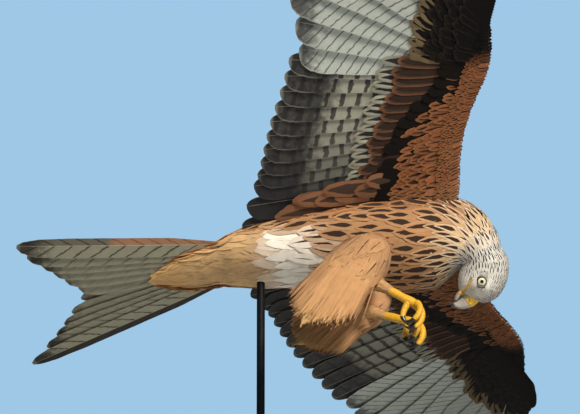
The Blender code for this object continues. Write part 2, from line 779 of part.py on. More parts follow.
def build_head(parts, cutters, looks):
    """Head with lids, sockets and mouth line, the two halves of the bill and the eyes."""
    rings = [profile_ring(row, BODY_SIDES, square=2.1) for row in HEAD_RINGS]
    head = add_object("head", *loft(rings), parts)
    lids = []
    sockets = []
    for side, word in ((1, "left"), (-1, "right")):
        centre = head_point(0.0, side * EYE_OUT, 0.0)
        eye = ball("eye_" + word, centre, EYE_RADIUS, parts)
        bake(eye)
        finish_piece(eye, looks["iris"])
        sockets.append(ball("socket_" + word, centre, EYE_RADIUS + GAP, cutters))
        rings = []
        for step in range(LID_STEPS):
            turn = 2.0 * math.pi * step / LID_STEPS
            around = HEAD_F * math.cos(turn) + HEAD_U * math.sin(turn)
            middle = head_point(0.0, side * LID_OUT, 0.0) + around * LID_RADIUS
            rings.append(oval_ring(middle, around * LID_THICK, HEAD_L * side * LID_THICK * LID_SWELL,
                                   LID_SIDES))
        lids.append(closed_ring_object("lid_" + word, rings, parts))
        forward, out, up = BROW_AT
        long_half, side_half, up_half = BROW_HALVES
        brow = oval_lump(head_point(forward, side * out, up), HEAD_F * long_half,
                         HEAD_L * side * side_half, HEAD_U * up_half)
        lids.append(add_object("brow_" + word, *brow, parts))
    fuse(head, lids)
    forward, long_half, side_half = MOUTH_REACH
    slit = block("mouth_slit", head_point(forward, 0.0, MOUTH_LINE), (HEAD_F, HEAD_L, HEAD_U),
                 (long_half, side_half, 0.5 * MOUTH_SLIT), cutters)
    carve(head, sockets + [slit])
    finish_piece(head, looks["pale"])

    upper = add_object("bill_upper", *loft([profile_ring(row, BILL_SIDES) for row in BILL_UPPER_RINGS]),
                       parts)
    nostrils = []
    for side in (1, -1):
        forward, out, up = NOSTRIL_AT
        long_half, side_half, up_half = NOSTRIL_HALVES
        lump = oval_lump(head_point(forward, side * out, up), HEAD_F * long_half, HEAD_L * side_half,
                         HEAD_U * up_half)
        nostrils.append(add_object("nostril", *lump, cutters))
    carve(upper, nostrils)
    finish_piece(upper, looks["horn"])
    lower = add_object("bill_lower", *loft([profile_ring(row, BILL_SIDES) for row in BILL_LOWER_RINGS]),
                       parts)
    finish_piece(lower, looks["horn"])


def oval_lump(centre, long_axis, side_axis, up_axis, sides=10, rows=5):
    """Closed ellipsoid on three half axes."""
    rings = []
    for row in range(rows):
        turn = math.pi * (row + 0.5) / rows
        middle = centre - long_axis * math.cos(turn)
        rings.append(oval_ring(middle, up_axis * math.sin(turn), side_axis * math.sin(turn), sides))
    return loft(rings)


def closed_ring_object(name, rings, collection):
    """Ring-shaped tube through rings that come back to the first."""
    sides = len(rings[0])
    count = len(rings)
    verts = [point for ring in rings for point in ring]
    faces = []
    for row in range(count):
        following = (row + 1) % count
        for side in range(sides):
            beside = (side + 1) % sides
            faces.append((row * sides + side, row * sides + beside, following * sides + beside,
                          following * sides + side))
    return add_object(name, verts, faces, collection)


def grown_torso(cutters, name):
    """Torso grown by the gap, for cutting what meets it."""
    return add_object(name, *loft(torso_rings(GAP)), cutters)


def build_legs(parts, cutters, looks):
    """Thighs, shanks, feet and claws."""
    for word, leg in LEGS.items():
        thigh = add_object("thigh_" + word, *loft(thigh_rings(leg)), parts)
        carve(thigh, [grown_torso(cutters, "torso_space_" + word)])
        finish_piece(thigh, looks["rufous"])

        hock = Vector(leg["hock"])
        knuckle = Vector(leg["knuckle"])
        shank = (knuckle - hock).normalized()
        start = hock - shank * TARSUS_IN
        points = [start.lerp(knuckle, t) for t in TARSUS_AT]
        radii = [TARSUS_RADIUS * f for f in TARSUS_SWELL]
        tarsus = add_object("tarsus_" + word, *loft(tube_rings(points, radii, 10)), parts)
        paths = toe_paths(leg)
        foot = add_object("foot_" + word, *loft(ball_rings(knuckle, shank, KNUCKLE_RADIUS)), parts)
        toes = []
        for index, (toe, claw) in enumerate(paths):
            radii = [TOE_RADIUS * f for f in np.linspace(*TOE_TAPER, len(toe))]
            toes.append(add_object("toe", *loft(tube_rings(toe, radii, TOE_SIDES)), parts))
            first = (toe[-1] - toe[-2]).normalized()
            claw_points = [point + first * GAP for point in claw]
            claw_radii = [TOE_RADIUS * f for f in CLAW_SWELL]
            nail = add_object("claw_%s_%d" % (word, index + 1),
                              *loft(tube_rings(claw_points, claw_radii, TOE_SIDES, first)), parts)
            finish_piece(nail, looks["claw"])
        fuse(foot, toes)
        finish_piece(foot, looks["yellow"])
        thigh_space = add_object("thigh_space_" + word, *loft(thigh_rings(leg, GAP)), cutters)
        foot_space = add_object("foot_space_" + word,
                                *loft(ball_rings(knuckle, shank, KNUCKLE_RADIUS + GAP)), cutters)
        carve(tarsus, [thigh_space, foot_space])
        finish_piece(tarsus, looks["yellow"])


def ball_rings(centre, axis, radius, sides=12, rows=6):
    """Rings of a ball about a chosen axis."""
    side = axis.orthogonal().normalized()
    up = axis.cross(side)
    rings = []
    for row in range(rows):
        turn = math.pi * (row + 0.5) / rows
        rings.append(oval_ring(centre - axis * radius * math.cos(turn), up * radius * math.sin(turn),
                               side * radius * math.sin(turn), sides))
    return rings


def build_stand(parts, cutters, looks):
    """Flat base plate with round corners and one rod up to the body."""
    rod_top = to_world(ROD_AT)
    outline = []
    half_x = BASE_LENGTH / 2.0 - BASE_CORNER
    half_y = BASE_WIDTH / 2.0 - BASE_CORNER
    for corner, (cx, cy) in enumerate(((1, 1), (-1, 1), (-1, -1), (1, -1))):
        for step in range(7):
            turn = math.pi / 2.0 * (corner + step / 6.0)
            outline.append((cx * half_x + BASE_CORNER * math.cos(turn),
                            cy * half_y + BASE_CORNER * math.sin(turn)))
    count = len(outline)
    verts = [(x, y, 0.0) for x, y in outline] + [(x, y, BASE_THICK) for x, y in outline]
    faces = [tuple(range(count))[::-1], tuple(range(count, 2 * count))]
    faces += [(i, (i + 1) % count, count + (i + 1) % count, count + i) for i in range(count)]
    base = add_object("stand_base", verts, faces, parts, place=False)
    finish_piece(base, looks["steel"], smooth=False)

    length = rod_top.z - BASE_THICK - GAP
    bpy.ops.mesh.primitive_cylinder_add(vertices=24, radius=ROD_RADIUS, depth=length,
                                        location=(rod_top.x, rod_top.y, BASE_THICK + GAP + length / 2.0))
    rod = bpy.context.active_object
    rod.name = "stand_rod"
    for holder in list(rod.users_collection):
        holder.objects.unlink(rod)
    parts.objects.link(rod)
    bake(rod)
    carve(rod, [grown_torso(cutters, "torso_space_rod")])
    finish_piece(rod, looks["steel"])


def build_wings(parts, cutters, looks):
    """Both wings, cut clear of the torso."""
    for word, pose in WING_POSE.items():
        wing = add_object("wing_" + word, *wing_flesh(pose), parts)
        fuse(wing, [add_object("vane", *shape, parts) for shape in wing_vanes(pose)], WING_SOLVER)
        neck_space = add_object("neck_space_" + word, *loft(neck_rings(2.5 * GAP)), cutters)
        carve(wing, [grown_torso(cutters, "torso_space_wing_" + word), neck_space], CARVE_SOLVER)
        finish_piece(wing, looks["feather"])


def build_tail(parts, cutters, looks):
    """Forked tail, cut clear of the torso."""
    tail = add_object("tail", *tail_core(), parts)
    fuse(tail, [add_object("vane", *shape, parts) for shape in tail_vanes()], WING_SOLVER)
    carve(tail, [grown_torso(cutters, "torso_space_tail")])
    finish_piece(tail, looks["feather"])


def main():
    """Builds every node of the bird and its stand."""
    for item in list(bpy.data.objects):
        bpy.data.objects.remove(item)
    parts = bpy.data.collections.new("red_kite")
    cutters = bpy.data.collections.new("cutters")
    bpy.context.scene.collection.children.link(parts)
    bpy.context.scene.collection.children.link(cutters)
    looks = {
        "rufous": material("rufous_plumage", (0.48, 0.22, 0.09), 0.85),
        "streaked": material("streaked_plumage", (0.42, 0.28, 0.18), 0.85),
        "pale": material("pale_head_plumage", (0.60, 0.58, 0.54), 0.85),
        "feather": material("flight_feathers", (0.16, 0.14, 0.13), 0.70),
        "iris": material("iris", (0.78, 0.70, 0.45), 0.15),
        "horn": material("horn_bill", (0.30, 0.29, 0.26), 0.40),
        "yellow": material("yellow_skin", (0.80, 0.55, 0.08), 0.55),
        "claw": material("black_claw", (0.03, 0.03, 0.03), 0.35),
        "steel": material("blackened_steel", (0.06, 0.06, 0.065), 0.50, 0.9),
    }
    build_body(parts, looks)
    build_head(parts, cutters, looks)
    build_wings(parts, cutters, looks)
    build_tail(parts, cutters, looks)
    build_legs(parts, cutters, looks)
    build_stand(parts, cutters, looks)


main()
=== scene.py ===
"""Looks of a life-size red kite, banking in flight on its display stand.

The bird is worked out in its own frame, x forward, y left and z towards its back, from
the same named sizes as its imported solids, and one turn and one shift set it in the row
frame.  A skin lies under the plumage, and every feather is a thin closed vane.
"""

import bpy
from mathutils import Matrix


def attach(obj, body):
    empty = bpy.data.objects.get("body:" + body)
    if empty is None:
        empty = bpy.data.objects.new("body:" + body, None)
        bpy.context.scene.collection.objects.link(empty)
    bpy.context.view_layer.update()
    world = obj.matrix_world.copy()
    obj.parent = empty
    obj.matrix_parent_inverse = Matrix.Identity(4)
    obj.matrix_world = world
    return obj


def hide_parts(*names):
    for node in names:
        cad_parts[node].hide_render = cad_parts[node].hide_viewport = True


bl_info = {
    "name": "Red kite model",
    "version": (1, 0, 0),
    "blender": (4, 5, 0),
    "location": "View3D > Sidebar > Red kite",
    "description": "Builds skin, plumage, bill, eyes, feet and stand of a life-size red kite",
    "category": "Object",
}

import math
from functools import partial

import bpy
import numpy as np
from bpy.props import FloatProperty, FloatVectorProperty, PointerProperty

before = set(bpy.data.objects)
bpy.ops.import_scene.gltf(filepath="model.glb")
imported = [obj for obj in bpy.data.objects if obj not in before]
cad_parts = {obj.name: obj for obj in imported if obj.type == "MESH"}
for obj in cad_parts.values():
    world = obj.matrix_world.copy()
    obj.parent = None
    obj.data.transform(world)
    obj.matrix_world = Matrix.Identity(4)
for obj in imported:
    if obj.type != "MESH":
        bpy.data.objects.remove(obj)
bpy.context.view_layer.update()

# Pose, as in the solids
BODY_PLACE = np.array((0.05, 0.0, 0.56))
CLIMB = math.radians(6.7)
ROLL_FROM_VIEW = math.radians(43.0)
VIEW_LIFT = math.radians(8.6)
DIHEDRAL = math.radians(7.0)

# Body: x, middle z, half width and half height of each section
TORSO_RINGS = (
    (-0.236, 0.003, 0.034, 0.013),
    (-0.222, 0.005, 0.040, 0.020),
    (-0.190, 0.008, 0.046, 0.030),
    (-0.150, 0.010, 0.051, 0.039),
    (-0.100, 0.007, 0.056, 0.049),
    (-0.050, 0.002, 0.059, 0.055),
    (0.000, -0.002, 0.059, 0.058),
    (0.030, -0.003, 0.057, 0.057),
    (0.045, -0.003, 0.055, 0.055),
)

# Coverts over the tail's root carry the body's form on: x, half width, half height
TAIL_CONE = (
    (-0.256, 0.0330, 0.0112),
    (-0.276, 0.0300, 0.0096),
    (-0.294, 0.0240, 0.0080),
    (-0.308, 0.0160, 0.0066),
)
NECK_RADII = (0.0535, 0.0500, 0.0450, 0.0390, 0.0335, 0.0296)
NECK_HANDLE_OUT = 0.015
NECK_HANDLE_IN = 0.030

# Head and bill: crown-line point, throat-line point (forward, up) and half width
HEAD_FORWARD_VIEW = (-0.49, -0.87, 0.0)
HEAD_ORIGIN = np.array((0.0780, 0.0175, -0.0622))
HEAD_RINGS = (
    ((-0.0468, 0.0036), (-0.0060, -0.0280), 0.0250),
    ((-0.0418, 0.0140), (-0.0010, -0.0280), 0.0250),
    ((-0.0330, 0.0208), (0.0040, -0.0270), 0.0245),
    ((-0.0225, 0.0258), (0.0080, -0.0255), 0.0240),
    ((-0.0120, 0.0284), (0.0120, -0.0238), 0.0230),
    ((0.0003, 0.0286), (0.0155, -0.0218), 0.0215),
    ((0.0092, 0.0266), (0.0185, -0.0202), 0.0185),
    ((0.0160, 0.0222), (0.0210, -0.0188), 0.0148),
    ((0.0212, 0.0160), (0.0225, -0.0178), 0.0108),
    ((0.0240, 0.0100), (0.0232, -0.0174), 0.0086),
)
BILL_UPPER_RINGS = (
    ((0.0225, 0.0100), (0.0220, -0.0112), 0.0085),
    ((0.0244, 0.0097), (0.0236, -0.0112), 0.0083),
    ((0.0290, 0.0082), (0.0268, -0.0113), 0.0074),
    ((0.0335, 0.0055), (0.0300, -0.0114), 0.0062),
    ((0.0382, 0.0008), (0.0330, -0.0117), 0.0050),
    ((0.0417, -0.0048), (0.0356, -0.0126), 0.0038),
    ((0.0436, -0.0110), (0.0382, -0.0146), 0.0026),
    ((0.0434, -0.0168), (0.0399, -0.0176), 0.0015),
    ((0.0422, -0.0213), (0.0412, -0.0210), 0.0004),
)
BILL_LOWER_RINGS = (
    ((0.0215, -0.0121), (0.0215, -0.0175), 0.0078),
    ((0.0236, -0.0121), (0.0235, -0.0175), 0.0076),
    ((0.0280, -0.0121), (0.0272, -0.0180), 0.0062),
    ((0.0320, -0.0124), (0.0312, -0.0179), 0.0046),
    ((0.0350, -0.0134), (0.0345, -0.0172), 0.0028),
    ((0.0368, -0.0148), (0.0366, -0.0164), 0.0010),
)
EYE_RADIUS = 0.0085
EYE_OUT = 0.0152
MOUTH_LINE = -0.01165
GAPE_CORNER = 0.0010
NOSTRIL_AT = (0.0276, -0.0005)

# Wing: span, leading edge, trailing edge and thickness of its flesh
FLESH_STATIONS = np.array((
    (0.020, 0.064, -0.070, 0.034),
    (0.055, 0.068, -0.064, 0.032),
    (0.100, 0.072, -0.050, 0.027),
    (0.140, 0.079, -0.022, 0.023),
    (0.180, 0.092, 0.008, 0.019),
    (0.215, 0.107, 0.038, 0.016),
    (0.245, 0.115, 0.060, 0.015),
    (0.285, 0.117, 0.072, 0.013),
    (0.320, 0.116, 0.080, 0.011),
    (0.345, 0.115, 0.090, 0.008),
    (0.362, 0.112, 0.100, 0.004),
))
WING_ROOT_Z = 0.022
CAMBER_CREST = 0.03
CAMBER_REAR = 0.25
CAMBER_FRONT = 1.0
TIP_FLEX = 0.16
HAND_SPAN = 0.24
LEAD_AT_REAR = 0.2

# Larger coverts of the arm: gap along the span, first root, how far behind the leading
# edge the tips lie at four spans, length, half width and least height off the quills
BAND_SPANS = (0.060, 0.120, 0.168, 0.220)
BAND_TIPS = (0.108, 0.098, 0.086, 0.060)
LARGE_ROWS = (
    ("greater", 0.0082, 0.050, (0.150, 0.137, 0.132, 0.124), 0.078, 0.0078, 0.0026),
    ("median", 0.0108, 0.046, (0.134, 0.120, 0.117, 0.108), 0.062, 0.0094, 0.0036),
    ("inner", 0.0100, 0.044, BAND_TIPS, 0.042, 0.0086, 0.0046),
)
SECONDARY_IN = -6.0
TERTIALS = 3
SECONDARIES = 10
PRIMARIES = 10
PRIMARY_LENGTHS = (0.198, 0.208, 0.224, 0.250, 0.292, 0.340, 0.370, 0.378, 0.358, 0.290)
# Each wing's side, how far its lead goes forward, angles of its innermost and outermost primary and
# of its outermost secondary, shares of the feathers' lengths and webs, and the painted shade of its
# underside: the far wing's lies in shade, which the pale floor would light up, so its colours are darkened as
# painted shade
WING_POSE = {
    "right": {"side": -1, "lead": 0.000, "p_in": 10.0, "p_out": 80.0, "s_out": 9.0, "reach": 1.045,
               "hand": 0.975, "web": 1.0, "shade": 1.0},
    "left": {"side": 1, "lead": 0.027, "p_in": 30.0, "p_out": 91.0, "s_out": 25.0, "reach": 1.12,
             "hand": 1.10, "web": 1.22, "shade": 0.6},
}
SINK = 0.013
NICK = 0.05
VANE_TILT = math.tan(math.radians(4.5))

# Feather webs: share of the length, share of the full half width
FULL_WEB = ((0.0, 0.22), (0.10, 0.28), (0.27, 1.0), (0.60, 1.0), (0.86, 0.98), (0.93, 0.88), (0.97, 0.68),
            (0.99, 0.42), (1.0, 0.16))
FINGER_WEB = ((0.0, 0.15), (0.12, 0.22), (0.32, 1.0), (0.48, 0.97), (0.60, 0.62), (0.86, 0.50),
              (0.96, 0.34), (1.0, 0.10))
TAIL_WEB = ((0.0, 0.30), (0.10, 0.55), (0.26, 0.92), (0.72, 1.0), (0.90, 0.88), (0.97, 0.56), (1.0, 0.16))
LARGE_COVERT_WEB = ((0.0, 0.30), (0.25, 0.95), (0.60, 1.0), (0.84, 0.92), (0.95, 0.62), (1.0, 0.18))
LESSER_WEB = ((0.0, 0.30), (0.25, 0.80), (0.55, 1.0), (0.78, 0.86), (0.92, 0.52), (1.0, 0.12))
SECONDARY_WEBS = (0.0240, 0.0125)
INNER_PRIMARY_WEBS = (0.0310, 0.0150)
FINGER_WEBS = (0.0280, 0.0120)
TAIL_WEBS = (0.0190, 0.0115)

# Tail: roots and tips of the feathers of one side, from the middle out
TAIL_ROOT_X = -0.240
TAIL_ROOT_Y = (0.0060, 0.0120, 0.0178, 0.0234, 0.0288, 0.0338)
TAIL_TIP_X = (-0.411, -0.425, -0.437, -0.449, -0.464, -0.486)
TAIL_TIP_Y = (0.0115, 0.0295, 0.0465, 0.0625, 0.0795, 0.1030)
TAIL_DROOP = math.radians(5.5)
TAIL_SHIFT = 0.010
TAIL_SHIFT_OVER = 0.245
TAIL_TILT = math.tan(math.radians(9.0))
TAIL_OVERLAP = 0.0025
OUTER_SHARE = 0.95

# Legs
LEGS = {
    "right": {"hip": (-0.052, -0.044, -0.052), "end": (-0.137, -0.046, -0.153),
              "hock": (-0.050, -0.036, -0.098), "knuckle": (-0.006, -0.026, -0.1325)},
    "left": {"hip": (-0.052, 0.040, -0.046), "end": (-0.148, 0.041, -0.104),
             "hock": (-0.058, 0.026, -0.085), "knuckle": (-0.007, 0.014, -0.1240)},
}
THIGH_RINGS = (
    (-0.18, 0.020, 0.016),
    (0.00, 0.030, 0.025),
    (0.20, 0.036, 0.026),
    (0.45, 0.036, 0.021),
    (0.68, 0.029, 0.015),
    (0.86, 0.019, 0.009),
    (1.00, 0.007, 0.003),
)
TARSUS_RADIUS = 0.0050
TOE_LENGTHS = (0.028, 0.034, 0.026, 0.022)
TOE_RADIUS = 0.0038
CLAW_LENGTH = 0.015
CURL_WAY = (-0.35, 0.30, -0.88)
KNUCKLE_RADIUS = 0.0062

# Stand
BASE_THICK = 0.008
ROD_RADIUS = 0.005
ROD_AT = (-0.185, 0.004, 0.0)

# Small plumage of the body.  Stage 0 is the bill's base, 1 the nape, 2 the neck's foot,
# 3 the tail's root and 4 the end of the tail coverts.  Then: gap along the body, gap
# round it, feather length, half width, and depth of the root under the coat's surface
COAT = np.array((
    (0.00, 0.0014, 0.0012, 0.0036, 0.0008, 0.0010),
    (0.30, 0.0019, 0.0016, 0.0060, 0.0011, 0.0016),
    (0.60, 0.0028, 0.0024, 0.0096, 0.0018, 0.0024),
    (1.00, 0.0046, 0.0036, 0.0150, 0.0028, 0.0032),
    (1.40, 0.0074, 0.0062, 0.0240, 0.0046, 0.0045),
    (2.00, 0.0094, 0.0088, 0.0330, 0.0066, 0.0060),
    (2.30, 0.0104, 0.0102, 0.0400, 0.0082, 0.0068),
    (2.60, 0.0092, 0.0088, 0.0430, 0.0074, 0.0068),
    (2.80, 0.0078, 0.0072, 0.0420, 0.0062, 0.0064),
    (3.05, 0.0080, 0.0070, 0.0420, 0.0066, 0.0046),
    (3.60, 0.0090, 0.0070, 0.0330, 0.0064, 0.0026),
    (4.00, 0.0100, 0.0070, 0.0200, 0.0056, 0.0016),
))

# Larger feathers that lie over the small plumage and carry its dark centres, as above,
# with the half width of the centre as a share of the feather's
STREAKED = np.array((
    (0.10, 0.0034, 0.0021, 0.0074, 0.0013, 0.0004, 0.26),
    (0.40, 0.0048, 0.0028, 0.0100, 0.0017, 0.0004, 0.32),
    (0.60, 0.0058, 0.0034, 0.0128, 0.0022, 0.0004, 0.42),
    (1.00, 0.0088, 0.0048, 0.0200, 0.0028, 0.0004, 0.48),
    (1.40, 0.0160, 0.0094, 0.0390, 0.0048, 0.0005, 0.56),
    (2.00, 0.0210, 0.0128, 0.0500, 0.0070, 0.0006, 0.54),
    (2.30, 0.0240, 0.0138, 0.0560, 0.0080, 0.0007, 0.50),
    (2.50, 0.0250, 0.0142, 0.0560, 0.0080, 0.0008, 0.36),
    (2.62, 0.0240, 0.0130, 0.0520, 0.0080, 0.0012, 0.07),
    (3.00, 0.0190, 0.0120, 0.0440, 0.0082, 0.0016, 0.05),
    (3.20, 0.0190, 0.0120, 0.0400, 0.0082, 0.0014, 0.03),
    (3.60, 0.0190, 0.0110, 0.0300, 0.0078, 0.0010, 0.03),
    (4.00, 0.0190, 0.0100, 0.0160, 0.0066, 0.0008, 0.00),
))
BODY_ROWS = 240
BODY_COLUMNS = 96
SKIN_SHARE = 0.9
CONTOUR_SHARES = np.array((0.0, 0.18, 0.40, 0.62, 0.80, 0.93, 1.0))
ROUND_WEB = np.array((0.30, 0.66, 0.95, 1.0, 0.86, 0.50, 0.08))
POINTED_WEB = np.array((0.34, 0.80, 1.0, 0.84, 0.54, 0.26, 0.04))
PATCH = 0.003

# Lens and place of the camera, worked out from the photo's framing
LENS = 151.4
SENSOR = 36.0
CAMERA_AT = (-0.0976, -2.9729, 0.1552)
BACKDROP_LIGHT = 0.12


def linear(text):
    """sRGB hex colour to linear RGB: the standard curve with its straight foot."""
    values = np.array([int(text[i:i + 2], 16) for i in (0, 2, 4)]) / 255.0
    return np.where(values <= 0.04045, values / 12.92, ((values + 0.055) / 1.055) ** 2.4)


def tone(label, about, text):
    """Colour property with an sRGB hex default."""
    return FloatVectorProperty(name=label, description=about, subtype="COLOR", size=3, min=0.0, max=1.0,
        default=tuple(float(v) for v in linear(text)))


def palette(context):
    """The scene's colours by name, as rows of linear values."""
    group = context.scene.kite_colours
    return {key: np.array(tuple(getattr(group, key))) for key in KiteColours.__annotations__}


def length(label, about, default):
    """Length property in metres."""
    return FloatProperty(name=label, description=about, default=default, min=0.0, unit="LENGTH",
        subtype="DISTANCE", precision=4)


class KiteColours(bpy.types.PropertyGroup):
    """Colours of the plumage, the bare parts, the stand and the stage."""

    head: tone("Head", "Pale grey of face and crown", "c9c7c2")
    head_streak: tone("Head streak", "Dark shafts of crown and nape", "45403e")
    head_edge: tone("Head edge", "Near-white edges of the head's plumes", "edeae2")
    lores: tone("Lores", "Bristly buff grey between eye and bill", "b5ab98")
    neck: tone("Neck", "Buff of the lanceolate neck plumes", "c7aa84")
    neck_edge: tone("Neck edge", "Cream edges of the neck plumes", "e3d7c3")
    streak: tone("Body streak", "Blackish-brown centres of neck and breast feathers", "33261f")
    breast: tone("Breast", "Orange rufous of the breast", "a07754")
    flank: tone("Flank", "Rufous of the flanks", "a37b58")
    belly: tone("Belly", "Tan of the belly", "c9a577")
    vent: tone("Vent", "White patch in front of the vent", "f6f1e6")
    undertail: tone("Undertail coverts", "Golden buff under the tail", "c9a26e")
    thigh: tone("Thigh", "Rufous tan of the trousers", "b88c62")
    mantle: tone("Mantle", "Brown of the back", "7b4f35")
    rump: tone("Rump", "Rufous of rump and uppertail coverts", "a9622f")
    rufous_edge: tone("Rufous edge", "Paler rufous edges of body feathers", "cf9f6c")
    lesser: tone("Lesser coverts", "Chestnut lining of the wing", "8a5536")
    covert_dark: tone("Dark coverts", "Dark brown centres of the greater coverts", "45372f")
    covert_edge: tone("Covert edge", "Rufous edges of the greater coverts", "87573b")
    covert_buff: tone("Buff coverts", "Buff brown of the primary coverts' ends", "6e5e46")
    band: tone("Dark band", "Blackish median coverts under the wing", "120d0b")
    carpal: tone("Carpal patch", "Black-brown wrist patch under the wing", "0b0908")
    axillary: tone("Axillaries", "Tan rufous of the long feathers under the wing's root", "8a6248")
    covert_pale: tone("Pale coverts", "Tan band of the upper median coverts", "a97b50")
    secondary: tone("Secondary base", "Grey of the secondaries from below", "a3a294")
    secondary_dark: tone("Secondary end", "Slate of the secondaries' ends", "2b2b2d")
    window: tone("Window", "White of the inner primaries from below", "bcc4bd")
    finger: tone("Fingers", "Black of the outer primaries", "1b1918")
    quill_upper: tone("Upper quills", "Dark brown upper side of the flight feathers", "3c2e26")
    tail_under: tone("Tail below", "Silvery olive grey of the tail from below", "918f7d")
    tail_upper: tone("Tail above", "Rufous upper side of the tail", "b5652f")
    tail_dark: tone("Tail end", "Dark ends of the tail feathers", "2a2624")
    iris: tone("Iris", "Pale cream of the eye", "e0dcc0")
    lid: tone("Lid", "Dark slate skin round the eye", "231f1e")
    cere: tone("Cere", "Yellow of cere and gape", "ecb934")
    horn: tone("Bill horn", "Grey horn of the bill", "b3aea6")
    horn_tip: tone("Bill tip", "Dark hook", "2c2b2b")
    foot: tone("Foot", "Bright yellow scaled skin", "e7b62c")
    claw: tone("Claw", "Black claw horn", "121112")
    steel: tone("Steel", "Blackened steel of the stand", "26272a")
    floor: tone("Floor", "Plain pale floor", "c9cbcc")
    sky: tone("Backdrop", "Pale backdrop light", "9fc8e6")


class KiteSizes(bpy.types.PropertyGroup):
    """Sizes that change how full and how loose the plumage looks."""

    proud: length("Tip lift", "How far a contour feather's tip stands off the coat", 0.0005)
    feather_thick: length("Feather thickness", "Thickness of a small feather at its shaft", 0.0003)
    quill_thick: length("Quill thickness", "Thickness of a flight feather at its shaft", 0.0008)
    fray: length("Fray", "How far the trousers' plumes reach past the thigh", 0.012)
    collar: length("Collar radius", "Radius of the collar that holds the rod", 0.014)
    floor_reach: length("Floor reach", "Half the side of the floor", 6.0)


def unit(vectors):
    """Vectors divided by their length."""
    return vectors / np.maximum(np.linalg.norm(vectors, axis=-1, keepdims=True), 1e-12)


def rows_of(*values):
    """Columns or single values side by side, as rows."""
    return np.stack(np.broadcast_arrays(*values), axis=-1)


def turns(count):
    """Angles of a whole turn in equal steps."""
    return 2.0 * np.pi * np.arange(count) / count


def ease(low, high, value):
    """0 at low, 1 at high, with a cubic ease between."""
    t = np.clip((value - low) / (high - low), 0.0, 1.0)
    return t * t * (3.0 - 2.0 * t)


def cubic(start, end, leave, arrive, t):
    """Cubic from start to end, with the slopes given for both."""
    return (start * (2 * t ** 3 - 3 * t ** 2 + 1) + leave * (t ** 3 - 2 * t ** 2 + t)
        + end * (3 * t ** 2 - 2 * t ** 3) + arrive * (t ** 3 - t ** 2))


def through(keys, values, at):
    """Smooth curve through a table: cubic pieces whose slopes come from the neighbouring keys."""
    keys = np.asarray(keys, float)
    values = np.asarray(values, float)
    at = np.clip(at, keys[0], keys[-1])
    slopes = np.gradient(values, keys, axis=0)
    low = np.clip(np.searchsorted(keys, at, side="right") - 1, 0, len(keys) - 2)
    gap = keys[low + 1] - keys[low]
    t = (at - keys[low]) / gap
    if values.ndim > 1:
        t = t[..., None]
        gap = gap[..., None]
    return cubic(values[low], values[low + 1], slopes[low] * gap, slopes[low + 1] * gap, t)


def view_axes():
    """Columns: the body's forward, left and dorsal ways as the viewer sees them."""
    forward = np.array((math.cos(CLIMB), math.sin(CLIMB), 0.0))
    across = np.array((-math.sin(CLIMB), math.cos(CLIMB), 0.0))
    right = across * math.cos(ROLL_FROM_VIEW) + np.array((0.0, 0.0, math.sin(ROLL_FROM_VIEW)))
    return rows_of(forward, -right, np.cross(right, forward))


def view_to_world():
    """Turns the viewer's right, up and towards into world axes."""
    c, s = math.cos(VIEW_LIFT), math.sin(VIEW_LIFT)
    return np.array(((1.0, 0.0, 0.0), (0.0, -s, -c), (0.0, c, -s)))


BODY_TURN = view_to_world() @ view_axes()


def to_world(points):
    """Body frame to row frame: one turn and one shift."""
    return points @ BODY_TURN.T + BODY_PLACE


def head_axes():
    """Rows: the head's forward, left and crown ways in the body frame."""
    forward = unit(np.array(HEAD_FORWARD_VIEW))
    toward = np.array((0.0, 0.0, 1.0))
    return np.stack((forward, -toward, np.cross(toward, forward))) @ view_axes()


HEAD_AXES = head_axes()
HEAD_F, HEAD_L, HEAD_U = HEAD_AXES


def from_head(forward, left, up):
    """Head frame to body frame."""
    return HEAD_ORIGIN + rows_of(forward, left, up) @ HEAD_AXES


def in_head(points):
    """Body frame to head frame."""
    return (points - HEAD_ORIGIN) @ HEAD_AXES.T


def profile_sections(rows):
    """Centre, upward half axis and sideways half axis of head or bill sections."""
    top = np.array([from_head(row[0][0], 0.0, row[0][1]) for row in rows])
    low = np.array([from_head(row[1][0], 0.0, row[1][1]) for row in rows])
    side = np.array([HEAD_L * row[2] for row in rows])
    return (top + low) / 2.0, (top - low) / 2.0, side


def tail_place(side, span, ahead, lift):
    """Tail frame to body frame: the flat tail droops about its root and shifts to one side."""
    behind = ahead - TAIL_ROOT_X
    c, s = math.cos(TAIL_DROOP), math.sin(TAIL_DROOP)
    return rows_of(TAIL_ROOT_X + behind * c + lift * s, side * span - TAIL_SHIFT * behind / TAIL_SHIFT_OVER,
        TORSO_RINGS[0][1] + behind * s + lift * c)


def neck_sections():
    """Sections of the neck along a cubic arc from the head's rear face to the torso."""
    x, z = TORSO_RINGS[-1][:2]
    (top_f, top_u), (low_f, low_u), _ = HEAD_RINGS[0]
    top = from_head(top_f, 0.0, top_u)
    low = from_head(low_f, 0.0, low_u)
    into_head = unit(np.cross(top - low, HEAD_L))
    into_head = into_head * np.sign(into_head @ HEAD_F)
    start = np.array((x, 0.0, z))
    out = start + np.array((NECK_HANDLE_OUT, 0.0, 0.0))
    end = (top + low) / 2.0
    back = end - into_head * NECK_HANDLE_IN
    t = (np.arange(len(NECK_RADII)) + 1.0)[:, None] / (len(NECK_RADII) + 1.0)
    s = 1.0 - t
    centre = start * s ** 3 + out * 3 * s * s * t + back * 3 * s * t * t + end * t ** 3
    along = unit((out - start) * 3 * s * s + (back - out) * 6 * s * t + (end - back) * 3 * t * t)
    side = np.array((0.0, 1.0, 0.0)) * s + HEAD_L * t
    side = unit(side - along * np.sum(side * along, axis=1, keepdims=True))
    radius = np.array(NECK_RADII)[:, None]
    return centre[::-1], (np.cross(along, side) * radius)[::-1], (side * radius)[::-1]


